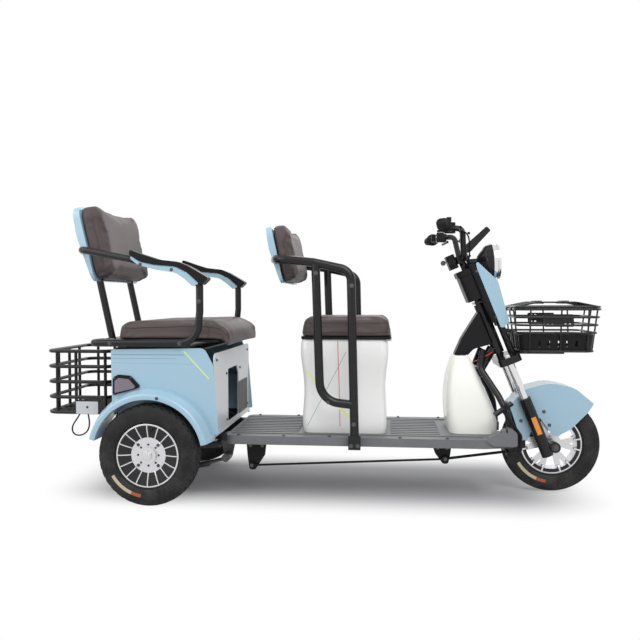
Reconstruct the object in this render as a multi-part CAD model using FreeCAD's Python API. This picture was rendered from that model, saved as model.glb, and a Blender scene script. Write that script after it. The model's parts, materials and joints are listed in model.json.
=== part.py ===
import FreeCAD
import Part

import math
import os

# Electric tricycle for two: one steered front wheel, two driven rear wheels, a low deck,
# a driver's seat on a storage box and a bench on the rear body. Millimetres and degrees.
# While it is modelled, X runs forward from the rear axle, Y to the rider's left and Z up
# from the ground. save() then moves each piece to the origin, midway along on the ground.

# Driving dimensions: wheels and stance
WHEEL_R = 184.0
TYRE_W = 80.0
BEAD_R = 104.0
FLANGE_R = 119.0
FLANGE_Y = 29.0
WHEELBASE = 1480.0
TRACK = 655.0
AXLE_R = 12.0
BACKING_R = 92.0
RUN_CLEAR = 0.05
SEAT_GAP = 0.3

# Deck and frame
DECK_TOP = 238.0
DECK_BOTTOM = 203.0
DECK_HALF = 225.0
DECK_REAR = 252.0
DECK_FRONT = 1275.0
DECK_WALL = 4.0
RIB_H = 3.0
TRAY_TOP = DECK_TOP - RIB_H
SHIELD_TOP = 525.0
AXLE_TUBE_R = 26.0
RAIL_Y = 150.0
RAIL_W = 40.0
RAIL_H = 28.0
KICK = 92.0
TUBE_R = 16.0

# Steering
RAKE = 22.0
AXIS_X = 1501.5
STEM_R = 13.0
HEAD_R = 22.0
HEAD_LOW = 534.0
HEAD_HIGH = 722.0
CROWN_LOW = 492.0
CROWN_H = 26.0
STAY_AHEAD = 46.0
STAY_Y = 40.0
STAY_R = 8.0
COVER_LOW = 742.0
COVER_H = 124.0
FORK_Y = 82.0
FORK_AHEAD = 14.0
STANCHION_R = 15.0
LEG_R = 22.0
LEG_TOP = 362.0
LEG_END = 146.0
BAR_HEIGHT = 905.0
GRIP_Z = BAR_HEIGHT + 93.0
FENDER_W = 56.0
MIRROR_R = 4.0
MIRROR_DEEP = 16.0
GRIP_HALF = 292.0
GRIP_L = 118.0
GRIP_R = 17.0
PALM_R = 26.0
BAR_R = 11.0

# Rear body and its fenders
BODY_HALF = 300.0
FENDER_OUT = 65.0
WELL_INSET = 32.0
BODY_TOP = 566.0
BODY_LOW = 254.0
BODY_REAR = -152.0
BODY_FRONT = 247.0
SKIN = 4.0
FENDER_HALF = BODY_HALF + FENDER_OUT
FENDER_R = 237.0
ARCH_R = 201.0
WELL_GAP = 15.0
WELL_Y = min(BODY_HALF - WELL_INSET, (TRACK - TYRE_W) / 2 - WELL_GAP)

# Rear bench
BENCH_Z = 586.0
BENCH_HALF = BODY_HALF - 30.0
CUSHION_H = 66.0
ARM_Y = BODY_HALF + 7.0
BACK_HALF = BODY_HALF - 78.0
BACK_LOW = 812.0
BACK_H = 300.0
BACK_DIP = 11.0
BACK_LEAN = 13.0
BACK_POST_Y = 150.0
POST_FOOT = -212.0
BACK_PAD = 72.0

# Driver's seat
BOX_HALF = 150.0
BOX_REAR = 529.0
BOX_FRONT = 853.0
BOX_TOP = 590.0
BOX_WALL = 4.0
LID_T = 10.0
LID_GAP = 1.5
HINGE_R = 5.0
HINGE_X = BOX_FRONT + 13.0
HINGE_Z = BOX_TOP - 5.0
PIN_R = 2.5
DRIVER_CUSHION_H = 74.0
HOOP_OUT = 15.0
HOOP_Y = DECK_HALF + HOOP_OUT
DRIVER_BACK_HALF = 200.0
DRIVER_BACK_LOW = 802.0
DRIVER_BACK_H = 228.0
DRIVER_LEAN = 12.0
DRIVER_PAD = 60.0

# Baskets
REAR_BASKET_BACK = -466.0
REAR_BASKET_FRONT = -206.0
REAR_BASKET_HALF = 182.0
REAR_BASKET_LOW = 305.0
REAR_BASKET_STEP = 59.5
WIRE_R = 7.0
FLOOR_WIRE_R = 5.0
BASKET_REAR = 1326.0
BASKET_FRONT = 1632.0
BASKET_TOP = 703.0
BASKET_LOW = 548.0
BASKET_STEP = 29.0
BASKET_HALF = 145.0
BASKET_TAPER = 20.0
TUB_H = 58.0
MESH_R = 4.0
BASE_WIRE_R = 2.5

# Headlight
LAMP_X = 1271.0
LAMP_Z = 890.0
LAMP_TILT = 4.0
LAMP_R = 72.0
LAMP_DEEP = 70.0
COWL_BACK = 34.0
COWL_HALF = 70.0

REACH_BACK = -(REAR_BASKET_BACK - WIRE_R)
REACH_FRONT = max(BASKET_FRONT + MESH_R, WHEELBASE + WHEEL_R)
MIDDLE_X = (REACH_FRONT - REACH_BACK) / 2.0

TAN_RAKE = math.tan(math.radians(RAKE))
SIN_RAKE = math.sin(math.radians(RAKE))
COS_RAKE = math.cos(math.radians(RAKE))


def vec(x, y, z):
    return FreeCAD.Vector(x, y, z)


def save(name, shape):
    placed = shape.copy()
    placed.translate(vec(-MIDDLE_X, 0, 0))
    placed.exportStep("parts/" + name + ".step")


def box(x, y, z):
    """A block between the low and high value of each pair."""
    return Part.makeBox(x[1] - x[0], y[1] - y[0], z[1] - z[0], vec(x[0], y[0], z[0]))


def rod(radius, start, end):
    """A round bar from one point to another."""
    line = end.sub(start)
    return Part.makeCylinder(radius, line.Length, start, line)


def across(radius, x, z, y):
    """A round bar along Y between the pair of y values."""
    return Part.makeCylinder(radius, y[1] - y[0], vec(x, y[0], z), vec(0, 1, 0))


def corner(before, point, after, radius):
    """The two tangent points and the middle of the arc that rounds one corner."""
    back = before.sub(point).normalize()
    on = after.sub(point).normalize()
    half = back.getAngle(on) / 2.0
    reach = radius / math.tan(half)
    middle = back.add(on).normalize().multiply(radius / math.sin(half) - radius)
    return point.add(back.multiply(reach)), point.add(middle), point.add(on.multiply(reach))


def path(points, radii, closed):
    """A wire of straight runs joined by tangent arcs."""
    count = len(points)
    marks = []
    for i in range(count):
        ends = not closed and i in (0, count - 1)
        if radii[i] == 0 or ends:
            marks.append((points[i], None, points[i]))
        else:
            marks.append(corner(points[i - 1], points[i], points[(i + 1) % count], radii[i]))
    edges = []
    for i in range(count):
        first, middle, last = marks[i]
        if middle is not None:
            edges.append(Part.Arc(first, middle, last).toShape())
        if closed or i < count - 1:
            following = marks[(i + 1) % count][0]
            if last.distanceToPoint(following) > 0.001:
                edges.append(Part.LineSegment(last, following).toShape())
    return Part.Wire(edges)


def bent_tube(points, radius, bend):
    """A round bar swept along points whose inner corners are bent to one radius."""
    spine = path(points, [bend] * len(points), False)
    line = points[1].sub(points[0])
    ring = Part.Wire([Part.makeCircle(radius, points[0], line)])
    return spine.makePipeShell([ring], True, True)


def ring_tube(points, radius, bend):
    """A closed loop of round bar through points, started on the middle of its first run."""
    start = points[0].add(points[1]).multiply(0.5)
    spine = path([start] + points[1:] + points[:1] + [start], [0] + [bend] * len(points) + [0], False)
    ring = Part.Wire([Part.makeCircle(radius, start, points[1].sub(points[0]))])
    return spine.makePipeShell([ring], True, True)


def side_plate(outline, y):
    """An outline of (x, z, corner radius) rows in the side view, as thick as the pair y."""
    points = [vec(x, y[0], z) for x, z, r in outline]
    wire = path(points, [r for x, z, r in outline], True)
    return Part.Face(wire).extrude(vec(0, y[1] - y[0], 0))


def front_plate(outline, x):
    """An outline of (y, z, corner radius) rows in the front view, as thick as the pair x."""
    points = [vec(x[0], y, z) for y, z, r in outline]
    wire = path(points, [r for y, z, r in outline], True)
    return Part.Face(wire).extrude(vec(x[1] - x[0], 0, 0))


def plan_wire(x, half, z, radius):
    """A rounded rectangle in plan between the pair x, at height z."""
    points = [vec(x[0], -half, z), vec(x[1], -half, z), vec(x[1], half, z), vec(x[0], half, z)]
    return path(points, [radius] * 4, True)


def plan_block(x, half, z, radius):
    """A rounded block: a plan outline between the pair z."""
    return Part.Face(plan_wire(x, half, z[0], radius)).extrude(vec(0, 0, z[1] - z[0]))


def turned(profile, x, z):
    """A profile of (y, radius, corner radius) rows turned about the wheel axis at x, z."""
    points = [vec(x, y, z + r) for y, r, c in profile]
    wire = path(points, [c for y, r, c in profile], True)
    return Part.Face(wire).revolve(vec(x, 0, z), vec(0, 1, 0), 360)


def spun(rows, x, z, tilt):
    """A profile of (ahead, radius, corner radius) rows turned about an axis that points forward."""
    points = [vec(a, 0, r) for a, r, c in rows]
    wire = path(points, [c for a, r, c in rows], True)
    shape = Part.Face(wire).revolve(vec(0, 0, 0), vec(1, 0, 0), 360)
    shape.rotate(vec(0, 0, 0), vec(0, 1, 0), -tilt)
    shape.translate(vec(x, 0, z))
    return shape


def mirrored(shape):
    return shape.mirror(vec(0, 0, 0), vec(0, 1, 0))


def pair(shape):
    return Part.makeCompound([shape, mirrored(shape)])


def joined(shapes):
    return shapes[0].multiFuse(shapes[1:]).removeSplitter()


def rounded(shape, radius, keep):
    """The shape with the edges that keep() picks rounded."""
    edges = [edge for edge in shape.Edges if keep(edge)]
    return shape.makeFillet(radius, edges)


def steer(ahead, y, height):
    """A point beside the steering axis: ahead of it square on, from the axis point at height."""
    x = AXIS_X - height * TAN_RAKE
    return vec(x + ahead * COS_RAKE, y, height + ahead * SIN_RAKE)


# Chassis

def neck_tube():
    """The down tube from the head tube to the front cross member."""
    foot = DECK_TOP - DECK_WALL - RIB_H - RAIL_H + 8
    return bent_tube([steer(-16, 0, HEAD_LOW + 24), vec(1188, 0, 420), vec(1204, 0, 320),
                      vec(DECK_FRONT - 36, 0, foot)],
                     19, 60)


def main_frame():
    """Two box rails, kicked up over the rear axle, with cross members, neck and head tube."""
    rail_top = DECK_TOP - DECK_WALL - RIB_H
    rail_low = rail_top - RAIL_H
    outline = [
        (BODY_REAR + 12, rail_low + KICK, 0), (60, rail_low + KICK, 20), (215, rail_low, 20),
        (DECK_FRONT - 12, rail_low, 0), (DECK_FRONT - 12, rail_top, 0), (225, rail_top, 20),
        (70, rail_top + KICK, 20), (BODY_REAR + 12, rail_top + KICK, 0),
    ]
    rail = side_plate(outline, (RAIL_Y - RAIL_W / 2, RAIL_Y + RAIL_W / 2))
    pieces = [rail, mirrored(rail)]
    # Cross members: (x low, x high, height above the deck's rail, half width)
    for x0, x1, lift, half in (
        (BODY_REAR + 12, BODY_REAR + 42, KICK, WELL_Y - 6), (30, 60, KICK, WELL_Y - 6), (300, 330, 0, RAIL_Y),
        (715, 755, 0, DECK_HALF - DECK_WALL - SEAT_GAP), (1150, 1180, 0, RAIL_Y),
        (DECK_FRONT - 42, DECK_FRONT - 12, 0, RAIL_Y),
    ):
        pieces.append(box((x0, x1), (-half, half), (rail_low + lift, rail_top + lift)))
    pieces.append(neck_tube())
    head = rod(HEAD_R, steer(0, 0, HEAD_LOW), steer(0, 0, HEAD_HIGH))
    frame = joined(pieces + [head])
    bore = rod(STEM_R + RUN_CLEAR, steer(0, 0, HEAD_LOW - 20), steer(0, 0, HEAD_HIGH + 20))
    return frame.cut(bore)


def neck_guard():
    """Bent guard tubes from the neck out and down to the deck's front corners."""
    start = steer(-58, -30, HEAD_LOW + 30)
    foot = 53 - DECK_HALF
    points = [start, vec(1204, -84, 478), vec(1262, foot + 32, 384), vec(1292, foot + 4, 320),
              vec(1302, foot, DECK_TOP + 2)]
    tube = bent_tube(points, 12, 55)
    bar = rod(8, vec(1206, -86, 474), vec(1206, 86, 474))
    return joined([tube, mirrored(tube), bar]).cut(neck_tube())


def neck_cover():
    """The black gusset cover from the head tube back to the leg shield."""
    high = steer(-HEAD_R + 6, 0, 700)
    low = steer(-HEAD_R + 6, 0, 574)
    outline = [(high.x, high.z, 4), (1140, 590, 30), (1112, SHIELD_TOP, 4), (1165, SHIELD_TOP, 6),
               (1186, 548, 30),
               (low.x, low.z, 4)]
    inside = [(high.x - 2, high.z - 12, 4), (1145, 590, 28), (1119, SHIELD_TOP + 3, 4),
              (1163, SHIELD_TOP + 3, 5),
              (1183, 552, 28), (low.x - 2, low.z + 2, 2)]
    cover = side_plate(outline, (-29, 29)).cut(side_plate(inside, (-26, 26)))
    head = rod(HEAD_R, steer(0, 0, HEAD_LOW), steer(0, 0, HEAD_HIGH))
    return cover.cut(head).cut(neck_tube())


def deck():
    """The ribbed foot board: a moulded tray turned over, with skirts down its sides."""
    top = TRAY_TOP
    ear = 1312.0
    ear_half = DECK_HALF - 27
    notch = DECK_HALF - 97
    outline = [
        (DECK_REAR, -DECK_HALF), (1200, -DECK_HALF), (ear, -ear_half), (ear, -notch), (DECK_FRONT, -notch),
        (DECK_FRONT, notch), (ear, notch), (ear, ear_half), (1200, DECK_HALF), (DECK_REAR, DECK_HALF),
    ]
    corners = [30, 60, 24, 10, 10, 10, 10, 24, 60, 30]
    wire = path([vec(x, y, DECK_BOTTOM) for x, y in outline], corners, True)
    shell = Part.Face(wire).extrude(vec(0, 0, top - DECK_BOTTOM))
    inner = wire.makeOffset2D(-DECK_WALL, 2, False, False, False)
    hollow = Part.Face(inner).extrude(vec(0, 0, top - DECK_WALL - DECK_BOTTOM))
    tray = shell.cut(hollow)
    ribs = []
    pitch = 34.0
    for i in range(-5, 6):
        y = i * pitch
        start, end = DECK_REAR + 12, DECK_FRONT - 12
        if abs(y) < BOX_HALF + 12:
            ribs.append(box((start, BOX_REAR - 14), (y - 9, y + 9), (top, DECK_TOP)))
            ribs.append(box((BOX_FRONT + 14, 1050), (y - 9, y + 9), (top, DECK_TOP)))
        else:
            ribs.append(box((start, end - 60), (y - 9, y + 9), (top, DECK_TOP)))
    # Raised toe stops at the front corners, stepped like the ribs
    toe = side_plate([(1200, top - 2, 0), (1288, 282, 22), (1316, 262, 14), (1316, 213, 8), (1236, 213, 0)],
                     (-DECK_HALF - 1, -DECK_HALF + 36))
    for x in (1236, 1256, 1276):
        toe = toe.cut(box((x, x + 6), (-DECK_HALF - 2, -DECK_HALF + 40), (262, 290)))
    tray = tray.multiFuse(ribs + [toe, mirrored(toe)])
    neck_hole = box((1170, DECK_FRONT + 5), (-24, 24), (top - 20, DECK_TOP + 5))
    rail_slots = box((DECK_REAR - 1, DECK_REAR + DECK_WALL + 1), (-RAIL_Y - 22, RAIL_Y + 22),
                     (DECK_BOTTOM - 1, top - DECK_WALL))
    return tray.cut(neck_hole).cut(rail_slots)


def hoop_brackets():
    """Feet of the driver's hoops: angle plates from under the frame out past the deck's side."""
    rail_low = DECK_TOP - DECK_WALL - RIB_H - RAIL_H
    foot = box((713, 757), (-HOOP_Y - 18, -RAIL_Y + 22), (rail_low - 6, rail_low))
    upright = box((713, 757), (-HOOP_Y - 18, -DECK_HALF - 1), (rail_low, DECK_TOP + 12))
    plate = joined([foot, upright])
    socket = rod(TUBE_R + 4, vec(735, -HOOP_Y, DECK_TOP - 16), vec(735, -HOOP_Y, DECK_TOP + 12))
    plate = joined([plate, socket])
    plate = plate.cut(box((690, 780), (-DECK_HALF - 1, -RAIL_Y), (rail_low, DECK_TOP + 40)))
    return pair(plate)


def leg_shield():
    """The white leg shield: a hollow column that narrows upward, open below and at the top."""
    # Sections: height, rear x, front x, half width, corner radius
    rows = (
        (TRAY_TOP, 1088, 1262, 118, 40), (300, 1079, 1262, 118, 40), (392, 1079, 1226, 108, 38),
        (470, 1090, 1192, 90, 34), (SHIELD_TOP, 1110, 1166, 64, 24),
    )
    outer = Part.makeLoft([plan_wire((a, b), h, z, r) for z, a, b, h, r in rows], True, False)
    inner = Part.makeLoft(
        [plan_wire((a + SKIN, b - SKIN), h - SKIN, z, r - SKIN) for z, a, b, h, r in rows], True, False)
    shell = outer.cut(inner)
    opening = box((1150, 1300), (-56, 56), (250, 560))
    return shell.cut(opening)


def foot_brake():
    """Brake pedal by the right-hand guard tube, its arm, and the lever shaft under the deck."""
    y = 23 - DECK_HALF
    low = vec(1240, y, 322)
    high = vec(1300, y, 368)
    pad = rod(5, low, high)
    plate = side_plate([(1240, 318, 3), (1303, 364, 3), (1298, 371, 3), (1235, 325, 3)], (y - 24, y + 24))
    arm = bent_tube([vec(1266, y - 8, 342), vec(1330, y - 8, 250), vec(1330, y - 8, 190),
                     vec(1288, y - 8, 184)], 6, 18)
    shaft = across(8, 1288, 184, (y - 16, -RAIL_Y + 30))
    return joined([pad, plate, arm, shaft])


def brake_linkage():
    """Under-deck brackets and the pull rods that run from the pedal shaft to the rear axle."""
    rail_low = DECK_TOP - DECK_WALL - RIB_H - RAIL_H
    y = (-RAIL_Y - 12, -RAIL_Y - 4)
    front = side_plate([(1018, rail_low, 0), (1090, rail_low, 0), (1086, 168, 8), (1078, 130, 12),
                        (1058, 132, 12),
                        (1030, 170, 10)], y)
    rear = side_plate([(318, rail_low, 0), (396, rail_low, 0), (390, 150, 8), (352, 92, 12), (330, 92, 12),
                       (322, 150, 8)], y)
    pivot_front = across(11, 1066, 152, (-RAIL_Y - 28, -RAIL_Y + 4))
    pivot_rear = across(11, 342, 112, (-RAIL_Y - 28, -RAIL_Y + 4))
    rod_y = -RAIL_Y - 20
    pull = rod(5, vec(1070, rod_y, 153), vec(1280, rod_y, 183))
    tail = rod(4, vec(348, rod_y - 1, 112.4), vec(1060, rod_y - 1, 151))
    return joined([front, rear, pivot_front, pivot_rear, pull, tail]).cut(across(8.3, 1288, 184,
                                                                                 (-RAIL_Y - 60, -RAIL_Y + 60)))


def rear_axle():
    """Axle housing with the motor and gear case off centre, backing plates and stub shafts."""
    inner = TRACK / 2 - 46
    z = WHEEL_R
    pieces = [across(AXLE_TUBE_R, 0, z, (-inner, inner))]
    case = turned([(-70, 0, 0), (-70, 62, 10), (-30, 82, 14), (40, 82, 14), (78, 60, 10), (78, 0, 0)], 0, z)
    motor = across(58, 0, z, (70, RAIL_Y + 14))
    pieces += [case, motor]
    for side in (-1, 1):
        plate = across(BACKING_R, 0, z, (min(side * (inner - 8), side * inner), max(side * (inner - 8),
                                                                                    side * inner)))
        end = side * (TRACK / 2 + 24)
        shaft = across(AXLE_R, 0, z, (min(side * inner, end), max(side * inner, end)))
        pieces += [plate, shaft]
    return joined(pieces)


def leaf_springs():
    """Three-leaf springs slung below the axle from a front eye to a rear shackle."""
    y = (RAIL_Y + 24, RAIL_Y + 64)
    rail_low = DECK_TOP - DECK_WALL - RIB_H - RAIL_H
    eye_front, eye_rear, eye_z = 250.0, -185.0, 148.0
    middle, bow, thick = (eye_front + eye_rear) / 2, 675.0, 7.0
    centre_z = eye_z + math.sqrt(bow ** 2 - (eye_front - middle) ** 2)
    pieces = []
    for i in range(3):
        reach = (eye_front - middle) - 62.0 * i
        rows = []
        for radius in (bow + thick * i, bow + thick * (i + 1)):
            drop = math.sqrt(radius ** 2 - reach ** 2)
            rows.append([vec(middle + dx, y[0], centre_z - dz)
                         for dx, dz in ((-reach, drop), (0, radius), (reach, drop))])
        upper, lower = rows
        edges = [Part.Arc(*upper).toShape(), Part.LineSegment(upper[2], lower[2]).toShape(),
                 Part.Arc(*lower).toShape(), Part.LineSegment(lower[0], upper[0]).toShape()]
        leaf = Part.Face(Part.Wire(Part.__sortEdges__(edges)))
        pieces.append(leaf.extrude(vec(0, y[1] - y[0], 0)))
    pieces.append(across(15, eye_front, eye_z, (y[0] - 4, y[1] + 4)))
    pieces.append(across(13, eye_rear, eye_z, (y[0] - 4, y[1] + 4)))
    saddle = box((-34, 34), y, (88, WHEEL_R - 4))
    pieces.append(saddle.cut(across(AXLE_TUBE_R, 0, WHEEL_R, (y[0] - 1, y[1] + 1))))
    pieces.append(side_plate([(222, rail_low, 0), (278, rail_low, 0), (264, 140, 10), (236, 140, 10)],
                             (y[0] - 10, y[0] - 4)))
    pieces.append(box((eye_rear - 11, eye_rear + 11), (y[0] - 10, y[0] - 4), (140, 292)))
    pieces.append(box((eye_rear - 11, BODY_REAR + 62), (RAIL_Y, y[0] - 4), (270, 295)))
    return pair(joined(pieces))


# Rear body

def side_panel():
    """Right-hand side moulding with its arched fender and wheel well, as the photograph shows."""
    x0, x1 = BODY_REAR, BODY_FRONT
    skin = (-BODY_HALF, -BODY_HALF + SKIN)
    outline = [
        (x0, BODY_LOW + 60, 10), (x0 - 4, BODY_TOP - 6, 10), (x1 - 52, BODY_TOP, 26),
        (x1 - 20, BODY_TOP - 60, 40),
        (x1, BODY_LOW, 6), (x0 + 300, BODY_LOW - 8, 0),
    ]
    plate = side_plate(outline, skin)
    top = WHEEL_R
    # Fender section: (y, radius from the wheel axis, corner radius), turned about the axle
    section = [
        (-BODY_HALF + SKIN, FENDER_R - 4, 0), (-BODY_HALF + SKIN, FENDER_R, 0),
        (-BODY_HALF - 28, FENDER_R - 2, 20),
        (-FENDER_HALF, FENDER_R - 16, 10), (-FENDER_HALF, ARCH_R, 3), (-WELL_Y, ARCH_R, 0),
        (-WELL_Y, ARCH_R + 3, 0),
        (-FENDER_HALF + 4, ARCH_R + 3, 2), (-FENDER_HALF + 4, FENDER_R - 19, 8),
        (-BODY_HALF - 28, FENDER_R - 6, 16),
    ]
    points = [vec(0, y, top + r) for y, r, c in section]
    face = Part.Face(path(points, [c for y, r, c in section], True))
    face.rotate(vec(0, 0, top), vec(0, 1, 0), -75)
    fender = face.revolve(vec(0, 0, top), vec(0, 1, 0), 153)
    arch = across(ARCH_R + 1.5, 0, top, (-BODY_HALF - 1, -BODY_HALF + SKIN + 1))
    plate = plate.cut(arch)
    well = side_plate([(x0 + 6, BODY_LOW + 62, 6), (x0 + 6, 410, 6), (x1 - 30, 410, 6),
                       (x1 - 30, BODY_LOW, 6),
                       (x0 + 300, BODY_LOW, 0)], (-WELL_Y, -WELL_Y + 3))
    well = well.cut(across(60, 0, top, (-WELL_Y - 1, -WELL_Y + 4)))
    return joined([plate, fender]), well


def body_front():
    """Front wall of the rear body with its battery-bay opening, and the corners that turn back."""
    half = BODY_HALF - SKIN - SEAT_GAP
    wall = front_plate([(-half, BODY_LOW - 14, 4), (half, BODY_LOW - 14, 4), (half, BODY_TOP - 20, 24),
                        (-half, BODY_TOP - 20, 24)], (BODY_FRONT - 20, BODY_FRONT - 16))
    bay = front_plate([(-90, 262, 8), (90, 262, 8), (90, 430, 8), (60, 470, 8), (-90, 470, 8)],
                      (BODY_FRONT - 22, BODY_FRONT - 14))
    return wall.cut(bay)


def body_top():
    """Board over the rear body that carries the bench."""
    half = BODY_HALF - SKIN - SEAT_GAP
    return plan_block((BODY_REAR + 4.3, BODY_FRONT - 54), half, (BODY_TOP - 6, BODY_TOP), 20)


def body_rear():
    """Rear wall of the body between the side mouldings."""
    half = BODY_HALF - SKIN - SEAT_GAP
    wall = front_plate([(-half, 304, 10), (half, 304, 10), (half, BODY_TOP - 10, 10),
                        (-half, BODY_TOP - 10, 10)],
                       (BODY_REAR, BODY_REAR + 4))
    arch = across(ARCH_R + SKIN, 0, WHEEL_R, (-half - 1, -WELL_Y + 4))
    return wall.cut(arch).cut(mirrored(arch))


def tail_lights():
    """Wedge lamps above the fenders, and the black surrounds they sit on."""
    lens = side_plate([(-136, 402, 4), (-136, 446, 8), (-122, 457, 8), (-84, 453, 8), (-56, 422, 6),
                       (-66, 419, 4)],
                      (-BODY_HALF - 16, -BODY_HALF - 6 - SEAT_GAP))
    back = side_plate([(-147, 392, 4), (-147, 458, 12), (-126, 468, 10), (-80, 464, 12), (-42, 424, 6),
                       (-60, 417, 4)],
                      (-BODY_HALF - 6, -BODY_HALF - SEAT_GAP))
    return pair(lens), pair(back)


def bench_base():
    """Board under the bench cushion."""
    return plan_block((BODY_REAR - 2, BODY_FRONT - 4), BENCH_HALF - 6, (BENCH_Z + SEAT_GAP, BENCH_Z + 8), 30)


def bench_cushion():
    """Bench cushion whose rounded nose hangs down in front of the body."""
    z0 = BENCH_Z + 8 + SEAT_GAP
    outline = [
        (BODY_REAR, z0, 10), (BODY_REAR + 4, z0 + CUSHION_H, 18), (BODY_FRONT - 15, z0 + CUSHION_H + 5, 46),
        (BODY_FRONT + 41, z0 + 18, 26), (BODY_FRONT + 12, z0 - 62, 7), (BODY_FRONT + 3, z0, 0),
    ]
    return side_plate(outline, (-BENCH_HALF, BENCH_HALF))


def bench_frame_side():
    """One bent tube: seat rail, armrest post and the arm that runs back round the backrest."""
    rail_z = BENCH_Z
    points = [
        vec(POST_FOOT, -ARM_Y + 70, rail_z - 2), vec(POST_FOOT - 16, -ARM_Y, rail_z - 2),
        vec(170, -ARM_Y, rail_z - 2), vec(182, -ARM_Y, 700), vec(182, -ARM_Y, 812), vec(98, -ARM_Y, 856),
        vec(20, -ARM_Y, 868), vec(-77, -ARM_Y + 6, 890), vec(-276, -ARM_Y + 40, 928),
        vec(-316, -ARM_Y + 130, 930),
    ]
    radii = [0, 22, 70, 20, 45, 80, 60, 60, 40, 0]
    spine = path(points, radii, False)
    ring = Part.Wire([Part.makeCircle(13.5, points[0], points[1].sub(points[0]))])
    return spine.makePipeShell([ring], True, True)


def bench_frame():
    """The two side tubes with the backrest posts and cross tubes between them."""
    side = bench_frame_side()
    post = rod(13.5, vec(POST_FOOT, -BACK_POST_Y, BENCH_Z - 2), vec(-292, -BACK_POST_Y, 960))
    low = rod(12, vec(POST_FOOT, -ARM_Y + 72, BENCH_Z - 2), vec(POST_FOOT, ARM_Y - 72, BENCH_Z - 2))
    high = rod(11, vec(-316, -ARM_Y + 132, 930), vec(-316, ARM_Y - 132, 930))
    bearers = [box((x, x + 34), (-ARM_Y + 6, ARM_Y - 6), (BODY_TOP + SEAT_GAP, BENCH_Z)) for x in (-128, 110)]
    return joined([side, mirrored(side), post, mirrored(post), low, high] + bearers)


def back_outline(half, height):
    """Front view of a backrest: its top edge dips between two raised round corners."""
    dip_bend = 1200.0
    return [(-half, 0, 34), (half, 0, 34), (half, height, 48), (0, height - BACK_DIP, dip_bend),
            (-half, height, 48)]


def leaned(shape, x, z, lean):
    """A backrest piece drawn upright, leaned back about its lower edge at x, z."""
    shape.rotate(vec(0, 0, 0), vec(0, 1, 0), -lean)
    shape.translate(vec(x, 0, z))
    return shape


def back_pad(x, z, height, half, lean, thick):
    """A backrest pad that leans back, its back face on the line through x, z."""
    pad = front_plate(back_outline(half, height), (SEAT_GAP, thick))
    pad = rounded(pad, 16, lambda e: e.BoundBox.XMin > thick - 0.01)
    return leaned(pad, x, z, lean)


def back_shell(x, z, height, half, lean, thick):
    """The moulded shell behind a backrest pad, thin at its lower edge."""
    low, high = 3.0, height - 3.0
    side = side_plate([(0, low, 0), (-10, low, 0), (-thick, 0.6 * height, 160), (-0.8 * thick, high, 0),
                       (0, high, 0)],
                      (-half, half))
    front = front_plate(back_outline(half, height), (-thick - 1, 0))
    return leaned(side.common(front), x, z, lean)


def armrests():
    """Armrest pads and the pale shells under them, on the bench's side tubes."""
    y = (-ARM_Y - 24, -ARM_Y + 24)
    # The joint line between pad and shell, from the back forwards
    joint = [(-30, 878, 60), (22, 867, 80), (100, 860, 60), (144, 838, 50)]
    top = [(-70, 903, 5), (-70, 922, 6), (-20, 904, 60), (40, 885, 80), (110, 877, 60), (150, 860, 50),
           (222, 818, 8), (194, 792, 8)] + joint[::-1]
    shell = [(-66, 900, 3)] + [(x, z - 0.4, r) for x, z, r in joint]
    shell += [(186, 799, 4), (161, 790, 4), (134, 815, 50), (100, 838, 60), (22, 850, 80), (-40, 868, 60),
              (-66, 888, 4)]
    pad = side_plate(top, y).cut(bench_frame_side())
    under = side_plate(shell, (y[0] + 3, y[1] - 3)).cut(bench_frame_side())
    return pad, under


# Driver's seat

def seat_box():
    """White storage box under the driver's seat, waisted, open at the top."""
    # Sections: height, inset from the full outline
    rows = ((TRAY_TOP, 6), (330, 4), (430, 6), (480, 1), (BOX_TOP, 0))
    x = (BOX_REAR, BOX_FRONT)
    outer = Part.makeLoft([plan_wire((x[0] + i, x[1] - i), BOX_HALF - i, z, 30) for z, i in rows], True,
                          False)
    inner = Part.makeLoft(
        [plan_wire((x[0] + i + BOX_WALL, x[1] - i - BOX_WALL), BOX_HALF - i - BOX_WALL, z, 26) for z,
         i in rows],
        True, False)
    floor = box((x[0] - 5, x[1] + 5), (-BOX_HALF - 5, BOX_HALF + 5), (TRAY_TOP - 5, TRAY_TOP + BOX_WALL))
    shell = outer.cut(inner.cut(floor))
    lug = across(HINGE_R, HINGE_X, HINGE_Z, (30, 60))
    web = box((BOX_FRONT - 1, HINGE_X), (30, 60), (HINGE_Z - HINGE_R, HINGE_Z + 2))
    pin = across(PIN_R, HINGE_X, HINGE_Z, (-60, 60))
    return joined([shell, lug, mirrored(lug), web, mirrored(web), pin])


def driver_base():
    """The lid of the storage box, which carries the driver's cushion and tips forward."""
    z = BOX_TOP + LID_GAP
    board = plan_block((BOX_REAR - 3, HINGE_X + 3), BOX_HALF + 8, (z, z + LID_T), 34)
    knuckle = across(HINGE_R, HINGE_X, HINGE_Z, (-29.5, 29.5))
    strap = box((HINGE_X - 4, HINGE_X + 3), (-29.5, 29.5), (HINGE_Z, z))
    return joined([board, knuckle, strap]).cut(across(PIN_R + RUN_CLEAR, HINGE_X, HINGE_Z, (-40, 40)))


def driver_cushion():
    z = BOX_TOP + LID_GAP + LID_T + SEAT_GAP
    pad = plan_block((BOX_REAR - 4, BOX_FRONT + 18), BOX_HALF + 18, (z, z + DRIVER_CUSHION_H), 36)
    return rounded(pad, 16, lambda e: e.BoundBox.ZMin > z + DRIVER_CUSHION_H - 1)


def driver_hoop():
    """A hoop of one bent tube: front post, top rail back to the backrest; and the inner post."""
    y = -HOOP_Y
    main = bent_tube([vec(735, y, DECK_TOP + 12.3), vec(722, y, 846), vec(588, y, 876), vec(455, y, 890),
                      vec(430, y + 90, 892)], TUBE_R, 48)
    inner = bent_tube([vec(594, y, 868), vec(610, y, 372), vec(733, y, 358)], TUBE_R, 78)
    return joined([main, inner])


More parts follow.
